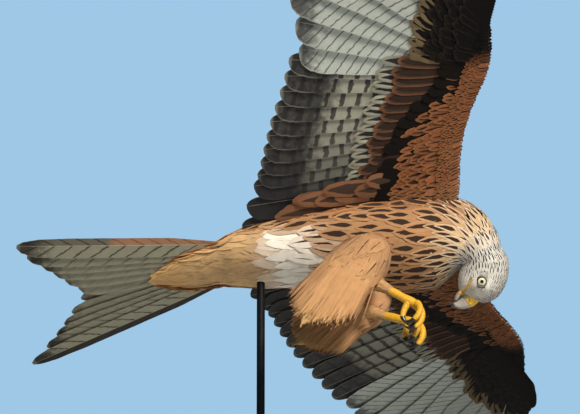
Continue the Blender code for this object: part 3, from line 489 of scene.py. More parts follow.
def body_table():
    """Sections from the bill's base to the end of the tail coverts, with the stage of each."""
    head_c, head_u, head_s = (part[::-1] for part in profile_sections(HEAD_RINGS))
    neck_c, neck_u, neck_s = neck_sections()
    torso = np.array(TORSO_RINGS)[::-1]
    zero = np.zeros(len(torso))
    torso_c = rows_of(torso[:, 0], zero, torso[:, 1])
    torso_u = rows_of(zero, zero, torso[:, 3])
    torso_s = rows_of(zero, torso[:, 2], zero)
    cone = np.array(TAIL_CONE)
    zero = np.zeros(len(cone))
    cone_c = tail_place(1.0, zero, cone[:, 0], zero)
    up_way = tail_place(1.0, 0.0, TAIL_ROOT_X, 1.0) - tail_place(1.0, 0.0, TAIL_ROOT_X, 0.0)
    cone_u = up_way * cone[:, 2:3]
    cone_s = rows_of(zero, cone[:, 1], zero)
    centre = np.concatenate((head_c, neck_c, torso_c, cone_c))
    up = np.concatenate((head_u, neck_u, torso_u, cone_u))
    side = np.concatenate((head_s, neck_s, torso_s, cone_s))
    distance = np.concatenate(([0.0], np.cumsum(np.linalg.norm(np.diff(centre, axis=0), axis=1))))
    counts = np.cumsum((len(head_c), len(neck_c), len(torso_c), len(cone_c)))
    marks = (0.0, distance[counts[0] - 1], distance[counts[1]], distance[counts[2] - 1], distance[-1])
    return centre, up, side, distance, np.interp(distance, marks, np.arange(5.0))


def face_relief(points):
    """Outward relief of the head: a brow over each eye and a hollow in front of it."""
    local = in_head(points)
    forward, left, up = local[..., 0], np.abs(local[..., 1]), local[..., 2]
    near = ease(0.006, 0.012, left)
    brow = np.exp(-((forward - 0.003) / 0.0095) ** 2 - ((up - 0.0092) / 0.0026) ** 2)
    hollow = np.exp(-((forward - 0.0125) / 0.0045) ** 2 - ((up - 0.0010) / 0.0050) ** 2)
    return near * (0.0017 * brow - 0.0009 * hollow)


def surface_of(points, outward):
    """Normals, row spacing and column spacing of a grid that closes on itself across."""
    along = np.gradient(points, axis=0)
    across = (np.roll(points, -1, axis=1) - np.roll(points, 1, axis=1)) / 2.0
    normals = unit(np.cross(across, along))
    if np.sum(normals * outward) < 0.0:
        normals = -normals
    return {"points": points, "normals": normals, "pace": np.maximum(np.linalg.norm(along, axis=-1), 1e-4),
        "girth": np.maximum(np.linalg.norm(across, axis=-1), 1e-5), "along": unit(along)}


def ring_points(centre, up, side, count, square):
    """Superellipse sections: cosine and sine, each to the power two over the squareness."""
    turn = turns(count)
    c, s = np.cos(turn), np.sin(turn)
    reach_up = (np.sign(c) * np.abs(c) ** (2.0 / square))[None, :, None]
    reach_side = (np.sign(s) * np.abs(s) ** (2.0 / square))[None, :, None]
    return centre[:, None] + up[:, None] * reach_up + side[:, None] * reach_side


def body_surface():
    """The coat's outer surface over head, neck, torso and tail root, and the stage of each row."""
    centre, up, side, distance, stage = body_table()
    at = np.linspace(0.0, distance[-1], BODY_ROWS)
    rows = [through(distance, part, at) for part in (centre, up, side)]
    points = ring_points(*rows, BODY_COLUMNS, 2.05)
    stage = np.interp(at, distance, stage)
    points = fill_throat(points, *np.searchsorted(stage, (0.93, 2.09)))
    middle = points.mean(axis=1, keepdims=True)
    made = surface_of(points, points - middle)
    points = points + made["normals"] * face_relief(points)[..., None]
    made = surface_of(points, points - middle)
    made["stage"] = stage
    return made


def fill_throat(points, first, last):
    """Throat and sides of the bent neck: cubic curves from the head's ring to the breast's, each
    leaving along the surface there, so the rings don't cross inside the bend."""
    start, end = points[first], points[last]
    reach = np.linalg.norm(end - start, axis=-1, keepdims=True)
    leave = unit(points[first] - points[first - 2]) * reach
    arrive = unit(points[last + 2] - points[last]) * reach
    t = np.linspace(0.0, 1.0, last - first + 1)[:, None, None]
    curve = cubic(start, end, leave, arrive, t)
    turn = np.degrees(turns(points.shape[1]))
    share = (ease(40.0, 84.0, turn) * ease(318.0, 286.0, turn))[None, :, None]
    made = points.copy()
    made[first:last + 1] = points[first:last + 1] * (1.0 - share) + curve * share
    return made


def sample(grid, a, b):
    """Value of a grid between its rows and columns, straight lines both ways."""
    rows, columns = grid.shape[:2]
    a = np.clip(a, 0.0, rows - 1.001)
    b = np.mod(b, columns)
    low_a, low_b = a.astype(int), np.minimum(b.astype(int), columns - 1)
    part_a, part_b = a - low_a, b - low_b
    next_b = (low_b + 1) % columns
    if grid.ndim > 2:
        part_a, part_b = part_a[..., None], part_b[..., None]
    near = grid[low_a, low_b] * (1.0 - part_b) + grid[low_a, next_b] * part_b
    far = grid[low_a + 1, low_b] * (1.0 - part_b) + grid[low_a + 1, next_b] * part_b
    return near * (1.0 - part_a) + far * part_a


def scatter(surface, gap_along, gap_across, seed):
    """Staggered rows of roots: rows where the run over the gap reaches whole numbers."""
    draw = np.random.default_rng(seed)
    rows = len(surface["points"])
    run = np.concatenate(([0.0], np.cumsum((surface["pace"].mean(axis=1) / gap_along)[:-1])))
    row_at = np.interp(np.arange(1.0, run[-1]), run, np.arange(rows))
    around = np.interp(row_at, np.arange(rows), surface["girth"].sum(axis=1) / gap_across)
    counts = np.maximum(around.astype(int), 3)
    first = np.repeat(np.cumsum(counts) - counts, counts)
    place = np.arange(counts.sum()) - first
    odd = np.repeat(0.5 * (np.arange(len(counts)) % 2), counts)
    b = (place + odd + draw.uniform(-0.16, 0.16, len(place))) / np.repeat(counts, counts)
    spread = np.repeat(np.gradient(row_at), counts)
    a = np.repeat(row_at, counts) + draw.uniform(-0.22, 0.22, len(place)) * spread
    return a, b * surface["points"].shape[1]


def walk(surface, a, b, size, lean, heights, shares):
    """Feather midlines: each steps along the lie of the surface, at a height over it."""
    at_a, at_b = a.copy(), b.copy()
    last = len(surface["points"]) - 1.001
    mids, ups = [], []
    for index, share in enumerate(shares):
        if index:
            step = size * (share - shares[index - 1])
            at_a = at_a + step * np.cos(lean) / sample(surface["pace"], at_a, at_b)
            at_b = at_b + step * np.sin(lean) / sample(surface["girth"], at_a, at_b)
        over = np.maximum(at_a - last, 0.0) * sample(surface["pace"], at_a, at_b)
        up = unit(sample(surface["normals"], at_a, at_b))
        point = sample(surface["points"], at_a, at_b) + up * heights[:, index:index + 1]
        mids.append(point + sample(surface["along"], at_a, at_b) * over[:, None])
        ups.append(up)
    return np.stack(mids, axis=1), np.stack(ups, axis=1)


def frames(mids, ups, roll):
    """Sideways and upward ways at each station of a midline, rolled about it."""
    forward = unit(np.gradient(mids, axis=1))
    side = unit(np.cross(ups, forward))
    up = np.cross(forward, side)
    roll = roll[:, None, None]
    return side * np.cos(roll) + up * np.sin(roll), up * np.cos(roll) - side * np.sin(roll)


def vane_set(mids, side, up, half, cup, thick, across, paint, chart, spread=(PATCH, PATCH)):
    """Closed vanes: across the midline each section is a lens whose edges sink by the cup.

    half holds inner and outer half widths (vanes, stations, 2), thick the shaft's
    thickness, paint the point attributes of each vane and chart its place in the bake map."""
    count, stations = mids.shape[:2]
    c = np.linspace(-1.0, 1.0, across)
    cup, thick = [np.broadcast_to(value, (count, stations))[..., None] for value in (cup, thick)]
    reach = np.where(c < 0.0, half[..., :1], half[..., 1:]) * c
    drop = -cup * (c * c) * np.mean(half, axis=-1, keepdims=True)
    swell = thick * 0.5 * np.sqrt(np.maximum(1.0 - c * c, 0.0))
    flat = mids[:, :, None] + side[:, :, None] * reach[..., None]
    over = flat + up[:, :, None] * (drop + swell)[..., None]
    under = flat + up[:, :, None] * (drop - swell)[..., None]
    ring = np.concatenate((over, under[:, :, -2:0:-1]), axis=2)
    around = ring.shape[2]
    u = np.concatenate((c, c[-2:0:-1]))
    upper = np.concatenate((np.zeros(1), np.ones(across - 2), np.zeros(around - across + 1)))
    run = np.linalg.norm(np.diff(mids, axis=1), axis=-1).cumsum(axis=1)
    v = np.concatenate((np.zeros((count, 1)), run / run[:, -1:]), axis=1)

    n = np.arange(count)[:, None, None]
    r = np.arange(stations - 1)[None, :, None]
    k = np.arange(around)[None, None, :]
    corners = [(r, k), (r + 1, k), (r + 1, k + 1), (r, k + 1)]
    quads = np.stack([n * stations * around + row * around + col % around for row, col in corners], axis=-1)
    wide = rows_of(*[n * 0 + r * 0 + col / around for _, col in corners])
    forward = mids[:, 1] - mids[:, 0]
    turned = np.sum(np.cross(forward, side[:, 0]) * up[:, 0], axis=1) < 0.0
    quads[turned] = quads[turned][..., ::-1]
    wide[turned] = wide[turned][..., ::-1]
    root = (np.arange(count) * stations * around)[:, None] + np.arange(around)
    tip = root + (stations - 1) * around
    root[turned] = root[turned][:, ::-1]
    ends = np.concatenate((root, tip[:, ::-1]))
    ends[count:][turned] = ends[count:][turned][:, ::-1]
    ends_wide = (ends % around) / around
    loops = np.concatenate((quads.reshape(-1), ends.reshape(-1)))
    wide = np.concatenate((wide.reshape(-1), ends_wide.reshape(-1)))
    sizes = np.concatenate((np.full(quads.shape[0] * quads.shape[1] * quads.shape[2], 4),
        np.full(2 * count, around)))
    u_all = np.broadcast_to(u, (count, stations, around)).reshape(-1)
    v_all = np.broadcast_to(v[:, :, None], (count, stations, around)).reshape(-1)
    which = loops // (stations * around)
    spread = np.broadcast_to(np.asarray(spread, float), (count, 2))
    bake = chart[which] + spread[which] * rows_of(wide, v_all[loops])
    painted = {key: np.repeat(value, stations * around, axis=0) for key, value in paint.items()}
    painted["upper"] = np.broadcast_to(upper, (count, stations, around)).reshape(-1)
    return {"verts": ring.reshape(-1, 3), "loops": loops, "sizes": sizes,
        "vane": rows_of(u_all, v_all)[loops], "bake": bake, "paint": painted}


def mesh_object(name, verts, loops, sizes, maps=(), paint=(), crease=None):
    """Mesh object at the origin from whole arrays, in the row frame, smooth up to the crease angle."""
    mesh = bpy.data.meshes.new(name)
    mesh.vertices.add(len(verts))
    mesh.vertices.foreach_set("co", verts.astype(np.float32).ravel())
    mesh.loops.add(len(loops))
    mesh.loops.foreach_set("vertex_index", loops.astype(np.int32))
    mesh.polygons.add(len(sizes))
    starts = np.concatenate(([0], np.cumsum(sizes)[:-1])).astype(np.int32)
    mesh.polygons.foreach_set("loop_start", starts)
    mesh.update(calc_edges=True)
    for key, values in dict(maps).items():
        layer = mesh.uv_layers.new(name=key, do_init=False)
        layer.uv.foreach_set("vector", values.astype(np.float32).ravel())
    for key, values in dict(paint).items():
        kind, word = ("FLOAT_COLOR", "color") if values.ndim > 1 else ("FLOAT", "value")
        layer = mesh.attributes.new(key, kind, "POINT")
        layer.data.foreach_set(word, values.astype(np.float32).ravel())
    mesh.shade_smooth()
    if crease is not None:
        mesh.set_sharp_from_angle(angle=crease)
    made = bpy.data.objects.new(name, mesh)
    bpy.context.scene.collection.objects.link(made)
    return made


def settle(piece, finish, slot, *nodes):
    """Gives a piece its finish and its body, and hides the nodes it stands for; slot is not used."""
    piece.data.materials.clear()
    piece.data.materials.append(finish)
    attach(piece, "root")
    if nodes:
        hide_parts(*nodes)
    return piece


def join_vanes(name, sets, finish, slot, *nodes):
    """One piece from several sets of vanes worked out in the body frame."""
    paint = [part["paint"] for part in sets]
    offsets = np.cumsum([0] + [len(part["verts"]) for part in sets[:-1]])

    def gathered(key, parts=sets):
        return np.concatenate([part[key] for part in parts])

    loops = np.concatenate([part["loops"] + shift for part, shift in zip(sets, offsets)])
    made = mesh_object(name, to_world(gathered("verts")), loops, gathered("sizes"),
        {"Vane": gathered("vane"), "OFBake": gathered("bake")},
        {key: gathered(key, paint) for key in paint[0]}, math.radians(60.0))
    return settle(made, finish, slot, *nodes)


def closed_tube(points):
    """Faces of a tube through rows of rings, with a fan at each end, as vertices and faces."""
    rows, columns = points.shape[:2]
    ends = np.stack((points[0].mean(axis=0), points[-1].mean(axis=0)))
    verts = np.concatenate((points.reshape(-1, 3), ends))
    r = np.arange(rows - 1)[:, None] * columns
    k = np.arange(columns)
    following = (k + 1) % columns
    quads = rows_of(r + k, r + following, r + columns + following, r + columns + k).reshape(-1, 4)
    first = rows_of(following, k, rows * columns)
    shift = (rows - 1) * columns
    last = rows_of(shift + k, shift + following, rows * columns + 1)
    centre = points.mean(axis=1)
    outward = points[1:, :] - centre[1:, None]
    normal = np.cross(np.roll(points, -1, axis=1) - points, np.gradient(points, axis=0))[1:]
    if np.sum(normal * outward) < 0.0:
        quads, first, last = quads[:, ::-1], first[:, ::-1], last[:, ::-1]
    return verts, quads, np.concatenate((first, last))


def tube_object(name, tubes, extra=()):
    """One mesh object from closed tubes given in the body frame; UV map Wrap is (round, along)."""
    verts, quads, fans, shift, wrap = [], [], [], 0, []
    for points in tubes:
        part, four, three = closed_tube(points)
        rows, columns = points.shape[:2]
        along = np.repeat(np.linspace(0.0, 1.0, rows), columns)
        around = np.tile(np.arange(columns) / columns, rows)
        wrap.append(np.concatenate((rows_of(around, along), ((0.5, 0.0), (0.5, 1.0)))))
        verts.append(part)
        quads.append(four + shift)
        fans.append(three + shift)
        shift += len(part)
    quads, fans, wrap = np.concatenate(quads), np.concatenate(fans), np.concatenate(wrap)
    loops = np.concatenate((quads.reshape(-1), fans.reshape(-1)))
    sizes = np.concatenate((np.full(len(quads), 4), np.full(len(fans), 3)))
    corners = wrap[loops].copy()
    four = corners[:len(quads) * 4].reshape(-1, 4, 2)
    seam = np.ptp(four[..., 0], axis=1) > 0.5
    four[seam, :, 0] = np.where(four[seam, :, 0] < 0.5, four[seam, :, 0] + 1.0, four[seam, :, 0])
    corners[:len(quads) * 4] = four.reshape(-1, 2)
    return mesh_object(name, to_world(np.concatenate(verts)), loops, sizes, {"Wrap": corners}, extra)


# Settings that many shader nodes share
TIMES, PLUS, MINUS, FUSED = [{"operation": word} for word in ("MULTIPLY", "ADD", "SUBTRACT", "MULTIPLY_ADD")]
SMOOTH = {"interpolation_type": "SMOOTHSTEP"}
RGBA = {"data_type": "RGBA"}


def add_node(tree, kind, *values, **settings):
    """Adds a shader node with its settings.  The inputs in use take values or links in order; gives
    the one output in use, or all where there are more."""
    made = tree.nodes.new("ShaderNode" + kind)
    for key, value in settings.items():
        setattr(made, key, value)
    for socket, value in zip([socket for socket in made.inputs if socket.enabled], values):
        if isinstance(value, bpy.types.NodeSocket):
            tree.links.new(value, socket)
        elif socket.type == "RGBA":
            socket.default_value = (*value[:3], 1.0)
        else:
            socket.default_value = value
    live = [socket for socket in made.outputs if socket.enabled]
    return live[0] if len(live) == 1 else made.outputs


def new_material(name, roughness, **sockets):
    """Principled material with the values that are the same all over, and what adds nodes to it."""
    made = bpy.data.materials.new(name)
    made.use_nodes = True
    inputs = made.node_tree.nodes["Principled BSDF"].inputs
    inputs["Roughness"].default_value = roughness
    for key, value in sockets.items():
        inputs[key.replace("_", " ")].default_value = value
    return made, partial(add_node, made.node_tree)


def coloured(made, base, *relief, rough=None):
    """Links a material's colour and, where given, its roughness and a bump of strength, distance
    and height."""
    tree = made.node_tree
    inputs = tree.nodes["Principled BSDF"].inputs
    tree.links.new(base, inputs["Base Color"])
    if rough:
        tree.links.new(rough, inputs["Roughness"])
    if relief:
        bump = add_node(tree, "Bump", *relief[:2])
        tree.links.new(relief[2], bump.node.inputs["Height"])
        tree.links.new(bump, inputs["Normal"])
    return made


def vane_inputs(node):
    """Across and along a vane from its own UV map, the absolute value across, and object place."""
    across, along, _ = node("SeparateXYZ", node("UVMap", uv_map="Vane"))
    return across, along, node("Math", across, operation="ABSOLUTE"), node("TexCoord")["Object"]


def contour_material(name, barbs, soft, wave, begin=-1.0):
    """Keratin contour feather, matt and downy: a vane of barbs either side of a dark centre.

    tint is the vane, mark the centre and, as alpha, its half width, fringe the edge and,
    as alpha, its strength.  The centre widens from the share named begin.  Barbs are drawn
    about 0.8 mm apart, coarser than the real 0.3."""
    made, node = new_material(name, 0.85, Sheen_Weight=0.03, Sheen_Roughness=0.6, Specular_IOR_Level=0.1)
    _, along, away, place = vane_inputs(node)
    tint, mark, fringe = [node("Attribute", attribute_name=key) for key in ("tint", "mark", "fringe")]
    rough = node("TexNoise", place, 420.0, 2.0)[0]
    ragged = node("Math", rough, 0.30, -0.15, **FUSED)
    # The dark centre is a spindle that narrows to a point before the tip, with a torn edge
    left = node("MapRange", along, 0.96, 0.70)
    taper = node("Math", left, 0.6, operation="POWER")
    width = node("Math", mark["Alpha"], taper, **TIMES)
    rise = node("MapRange", along, begin, begin + 0.20, **SMOOTH)
    width = node("Math", width, rise, **TIMES)
    torn = node("Math", ragged, 0.9, 1.0, **FUSED)
    width = node("Math", width, torn, **TIMES)
    inside = node("Math", width, away, **MINUS)
    streak = node("MapRange", inside, -0.01, soft, **SMOOTH)
    streak = node("Math", streak, node("MapRange", width, 0.01, 0.03), **TIMES)
    wavy = node("Math", away, ragged, **PLUS)
    end = node("Math", ragged, 0.4, along, **FUSED)
    rim = node("Math", node("MapRange", wavy, 0.58, 0.98, **SMOOTH),
        node("MapRange", end, 0.84, 0.98, **SMOOTH), operation="MAXIMUM")
    rim = node("Math", rim, fringe["Alpha"], **TIMES)
    base = node("Mix", rim, tint["Color"], fringe["Color"], **RGBA)
    base = node("Mix", streak, base, mark["Color"], **RGBA)
    slant = node("Math", away, -0.22, along, **FUSED)
    lines = node("Math", node("Math", slant, barbs * 2.0 * math.pi, **TIMES), operation="SINE")
    cloud = node("TexNoise", place, 95.0, 3.0)[0]
    shade = node("Math", lines, wave, 0.85, **FUSED)
    shade = node("Math", cloud, 0.30, shade, **FUSED)
    base = node("Mix", 1.0, base, shade, blend_type="MULTIPLY", **RGBA)
    return coloured(made, base, 0.25, 0.0003, lines)


def quill_material(name, shaft, barbs):
    """Flight feather keratin, smoother than down: slanted bars, dark end, two differing sides.

    tint is the under side and, as alpha, the bars' strength; mark the dark end and, as
    alpha, the share of the length where it begins; back the upper side and, as alpha, how
    dark the outer web is, from the share named edge on.  bars holds their number along the
    feather, their slant, their width share and how far they keep off the outer web."""
    made, node = new_material(name, 0.60, Sheen_Weight=0.02, Sheen_Roughness=0.5, Specular_IOR_Level=0.15)
    across, along, away, place = vane_inputs(node)
    tint, mark, back, bars = [node("Attribute", attribute_name=key) for key in ("tint", "mark", "back",
        "bars")]
    upper, edge = [node("Attribute", attribute_name=key)["Fac"] for key in ("upper", "edge")]
    number, slope, width = node("SeparateXYZ", bars["Vector"])
    noise = node("TexNoise", place, 130.0, 3.0)[0]
    wobble = node("Math", noise, 0.34, -0.17, **FUSED)
    # Bars: a wave along the feather, slanted away from the shaft and unsteady
    steps = node("Math", along, number, **TIMES)
    steps = node("Math", steps, node("Math", away, slope, **TIMES), **MINUS)
    steps = node("Math", wobble, 1.1, steps, **FUSED)
    wave = node("Math", steps, 0.5, operation="PINGPONG")
    depth = node("Math", node("Math", wave, width, **PLUS), 0.5, **MINUS)
    bar = node("MapRange", depth, -0.03, 0.03, **SMOOTH)
    web = node("MapRange", across, 0.0, 0.06, **SMOOTH)
    keep = node("Math", 1.0, node("Math", web, bars["Alpha"], **TIMES), **MINUS)
    for factor in (node("MapRange", away, 0.0, 0.05), node("MapRange", away, 1.02, 0.94), keep,
            tint["Alpha"]):
        bar = node("Math", bar, factor, **TIMES)
    start = node("Math", wobble, 0.5, mark["Alpha"], **FUSED)
    end = node("MapRange", node("Math", along, start, **MINUS), -0.05, 0.09, **SMOOTH)
    dull = node("Mix", 0.92, tint["Color"], mark["Color"], **RGBA)
    below = node("Mix", bar, tint["Color"], dull, **RGBA)
    cloud = node("MapRange", noise, 0.35, 0.65, 0.86, 1.0)
    below = node("Mix", node("Math", end, cloud, **TIMES), below, mark["Color"], **RGBA)
    dark_web = node("MapRange", node("Math", along, edge, **MINUS), -0.03, 0.03)
    dark_web = node("Mix", dark_web, back["Color"], mark["Color"], **RGBA)
    below = node("Mix", node("Math", web, back["Alpha"], **TIMES), below, dark_web, **RGBA)
    above = node("Mix", node("Math", bar, 0.6, **TIMES), back["Color"], mark["Color"], **RGBA)
    above = node("Mix", node("Math", end, 0.7, **TIMES), above, mark["Color"], **RGBA)
    base = node("Mix", upper, below, above, **RGBA)
    # Worn pale rim round the tip, and the shaft
    rim = node("Math", node("MapRange", away, 0.90, 0.99), node("MapRange", along, 0.80, 0.90), **TIMES)
    rim = node("Math", rim, node("MapRange", along, 0.976, 0.992), operation="MAXIMUM")
    pale = node("Mix", 0.5, base, tint["Color"], **RGBA)
    base = node("Mix", rim, base, pale, **RGBA)
    rib = node("MapRange", node("Math", along, 0.02, away, **FUSED), 0.050, 0.028)
    base = node("Mix", node("Math", rib, 0.45, **TIMES), base, shaft, **RGBA)
    slant = node("Math", away, -0.10, along, **FUSED)
    lines = node("Math", node("Math", slant, barbs * 2.0 * math.pi, **TIMES), operation="SINE")
    shade = node("Math", lines, 0.045, 1.0, **FUSED)
    shade = node("Math", shade, wobble, **PLUS)
    base = node("Mix", 1.0, base, shade, blend_type="MULTIPLY", **RGBA)
    height = node("Math", rib, 2.5, lines, **FUSED)
    return coloured(made, base, 0.35, 0.0004, height)


def shade_run(colours, names, keys, at):
    """Colour along a run of keys, straight in linear light between the named colours."""
    table = np.array([colours[name] for name in names])
    return np.stack([np.interp(at, keys, table[:, channel]) for channel in range(3)], axis=-1)


def blend(first, second, share):
    """Mix of two colours, row by row."""
    return first * (1.0 - share[:, None]) + second * share[:, None]


def markings(count, **pairs):
    """Point colours of a set of feathers: each is a pair of a colour and its fourth value."""
    return {key: np.concatenate((np.broadcast_to(colour, (count, 3)),
                                 np.broadcast_to(alpha, (count,))[:, None]), axis=1)
            for key, (colour, alpha) in pairs.items()}


def body_paint(colours, stage, turn, spot, draw, streaked):
    """Markings of head, neck and torso from the stage, the turn round the body and the place."""
    count = len(stage)
    below = 0.5 - 0.5 * np.cos(turn)
    under = shade_run(colours, ("head", "head", "neck", "breast", "flank", "flank", "belly", "belly",
        "undertail", "undertail"), (0.0, 0.95, 1.35, 1.9, 2.2, 2.50, 2.80, 3.0, 3.2, 4.0), stage)
    over = shade_run(colours, ("head", "head", "neck", "mantle", "mantle", "rump", "rump"),
        (0.0, 0.95, 1.25, 1.7, 2.75, 3.1, 4.0), stage)
    tint = blend(over, under, ease(0.30, 0.62, below))
    face = ease(0.75, 0.35, stage) * ease(0.16, 0.42, below)
    tint = blend(tint, colours["head_edge"], 0.75 * face)
    local = in_head(spot)
    lores = np.exp(-((local[:, 0] - 0.0165) / 0.0055) ** 2 - ((local[:, 2] + 0.0055) / 0.0045) ** 2)
    tint = blend(tint, colours["lores"], 0.8 * lores * (stage < 1.0))
    white = np.exp(-((spot[:, 0] + 0.110) / 0.029) ** 2) * ease(0.52, 0.80, below)
    tint = blend(tint, colours["vent"], np.clip(white * 1.3, 0.0, 1.0))
    tint = tint * draw.normal(1.0, 0.05, count)[:, None].clip(0.84, 1.18)
    dark_over = np.interp(stage, (0.0, 0.35, 0.95, 1.3, 2.0, 3.0, 3.4, 4.0),
        (0.34, 0.38, 0.40, 0.42, 0.58, 0.46, 0.12, 0.06))
    if streaked:
        dark_under = np.interp(stage, STREAKED[:, 0], STREAKED[:, 6])
        bare = (stage > 2.62) & (stage < 3.3) & (draw.random(count) < 0.5)
        dark_under = np.where(bare, 0.0, dark_under)
    else:
        dark_under = np.interp(stage, (0.0, 0.5, 0.95, 1.4, 1.7, 4.0), (0.10, 0.22, 0.22, 0.12, 0.0, 0.0))
        dark_over = dark_over * 0.8
    dark = dark_over + (dark_under - dark_over) * ease(0.35, 0.70, below)
    dark = dark * draw.uniform(0.75, 1.2, count) * (1.0 - white) * (1.0 - 0.65 * face)
    mark = shade_run(colours, ("head_streak", "head_streak", "streak", "streak"), (0.0, 0.9, 1.25, 4.0),
        stage)
    rim_tone = shade_run(colours, ("head_edge", "head_edge", "neck_edge", "rufous_edge", "rufous_edge"),
        (0.0, 1.0, 1.4, 2.0, 4.0), stage)
    rim = np.interp(stage, (0.0, 1.0, 1.4, 1.85, 2.2, 4.0), (0.3, 0.50, 0.55, 0.25, 0.10, 0.08))
    rim = rim + 0.35 * ease(0.62, 0.40, below) * (stage > 1.5)
    return markings(count, tint=(tint, 1.0), mark=(mark, dark), fringe=(rim_tone, rim))


def heights_at(shares, depth, proud):
    """Height over the coat's surface: the root sunk by the depth, the tip proud of it."""
    return -depth[:, None] * (1.0 - shares) ** 1.35 + proud[:, None] * shares


def coat_vanes(surface, a, b, size, half, depth, lean, proud, web, cup, thick, paint, chart, roll):
    """Contour feathers walked along a surface from their roots."""
    mids, ups = walk(surface, a, b, size, lean, heights_at(CONTOUR_SHARES, depth, proud), CONTOUR_SHARES)
    side, up = frames(mids, ups, roll)
    widths = np.repeat((half[:, None] * web)[..., None], 2, axis=2)
    return vane_set(mids, side, up, widths, cup, thick, 3, paint, chart)


def hidden_by_wing(points):
    """True where a point of the body lies inside the root of either wing."""
    height = np.interp(points[..., 0], (-0.075, -0.050, 0.040, 0.066), (0.0, 0.012, 0.014, 0.0))
    level = WING_ROOT_Z + np.abs(points[..., 1]) * math.tan(DIHEDRAL)
    return (np.abs(points[..., 1]) > 0.040) & (np.abs(points[..., 2] - level) < height)


class KITE_OT_skin(bpy.types.Operator):
    """Skin under the plumage: one closed surface over head, neck, torso, thighs and arms"""

    bl_idname = "kite.skin"
    bl_label = "Skin"

    def execute(self, context):
        colours = palette(context)
        surface = body_surface()
        keep = surface["stage"] <= 3.35
        depth = np.interp(surface["stage"], COAT[:, 0], COAT[:, 5]) * SKIN_SHARE
        points = surface["points"] - surface["normals"] * depth[:, None, None]
        tubes = [points[keep]]
        tubes += [thigh_surface(leg, 0.62)["points"] for leg in LEGS.values()]
        tubes += [arm_points(pose) for pose in WING_POSE.values()]
        body = tube_object("skin", tubes[:1])
        others = []
        for index, tube in enumerate(tubes[1:]):
            other = tube_object("skin_part_%d" % index, [tube])
            joined = body.modifiers.new("Join", "BOOLEAN")
            joined.operation = "UNION"
            joined.solver = "MANIFOLD"
            joined.object = other
            others.append(other)
        context.view_layer.update()
        mesh = bpy.data.meshes.new_from_object(body.evaluated_get(context.evaluated_depsgraph_get()))
        body.modifiers.clear()
        body.data = mesh
        for other in others:
            bpy.data.objects.remove(other)
        if len(mesh.vertices) < 1000:
            raise RuntimeError("the skin's parts did not join")
        settle(body, skin_material(colours), "body_plumage", "torso", "neck", "head", "thigh_left",
            "thigh_right")
        return {"FINISHED"}


def skin_material(colours):
    """Skin with short down, matt; its colour follows the coat above it by place on the body."""
    made, node = new_material("Downy_skin", 0.85, Specular_IOR_Level=0.2)
    place = node("TexCoord")["Object"]
    way = node("VectorMath", place, tuple(to_world(HEAD_ORIGIN)), operation="DISTANCE")
    noise = node("TexNoise", place, 300.0, 3.0)[0]
    head = node("Mix", noise, colours["head"], colours["head_streak"], **RGBA)
    body = node("Mix", noise, colours["breast"], colours["mantle"], **RGBA)
    share = node("MapRange", way, 0.045, 0.085)
    base = node("Mix", share, head, body, **RGBA)
    return coloured(made, base, 0.4, 0.0004, noise)


def thigh_surface(leg, share=1.0):
    """Flattened leaf of the thigh, from the flank to its frayed end."""
    hip, end = np.array(leg["hip"]), np.array(leg["end"])
    along = unit(end - hip)
    across = np.array((0.0, 1.0, 0.0))
    flat = unit(np.cross(along, across))
    table = np.array(THIGH_RINGS)
    at = np.linspace(table[0, 0], table[-1, 0], 60)
    sizes = through(table[:, 0], table[:, 1:], at)
    centre = hip + (end - hip) * at[:, None]
    points = ring_points(centre, flat * sizes[:, :1] * share, across * sizes[:, 1:] * share, 48, 2.0)
    return surface_of(points, points - centre[:, None])


def wing_place(side, span, ahead, lift):
    """Wing frame to body frame: the wing bows down at both edges and flexes up at the tip."""
    behind = ahead - CAMBER_CREST
    bow = np.where(behind < 0.0, CAMBER_REAR, CAMBER_FRONT)
    height = lift - bow * behind * behind + TIP_FLEX * np.maximum(0.0, span - HAND_SPAN) ** 2
    c, s = math.cos(DIHEDRAL), math.sin(DIHEDRAL)
    return rows_of(ahead, side * (span * c - height * s), WING_ROOT_Z + span * s + height * c)


def lead_at(pose, span, column=1, share=1.0):
    """Leading edge of the wing's flesh; it moves with the pose, fully from the hand on."""
    edge = through(FLESH_STATIONS[:, 0], FLESH_STATIONS[:, column], span)
    return edge + share * pose["lead"] * np.minimum(1.0, span / HAND_SPAN)


def trail_at(pose, span):
    """Rear edge of the wing's flesh, which moves less than the leading edge."""
    return lead_at(pose, span, 2, LEAD_AT_REAR)


def swell_at(pose, span, ahead):
    """Half thickness of the wing's flesh: root of share times its rest, fuller in front."""
    lead, trail = lead_at(pose, span), trail_at(pose, span)
    share = np.clip((ahead - trail) / (lead - trail), 0.0, 1.0)
    thick = through(FLESH_STATIONS[:, 0], FLESH_STATIONS[:, 3], span)
    return thick * np.sqrt(share * (1.0 - share)) * (0.55 + 0.45 * share)


def arm_points(pose):
    """Rings of the bare arm and hand inside the coverts."""
    spans = np.linspace(0.022, 0.352, 40)[:, None]
    turn = turns(28)
    share = 0.5 + 0.5 * np.cos(turn)
    lead = lead_at(pose, spans) - 0.004
    trail = trail_at(pose, spans) + 0.004
    thick = through(FLESH_STATIONS[:, 0], FLESH_STATIONS[:, 3], spans) * 0.60
    lift = 0.5 * thick * np.sin(turn) * (0.55 + 0.45 * share)
    return wing_place(pose["side"], spans + 0.0 * share, trail + (lead - trail) * share, lift)


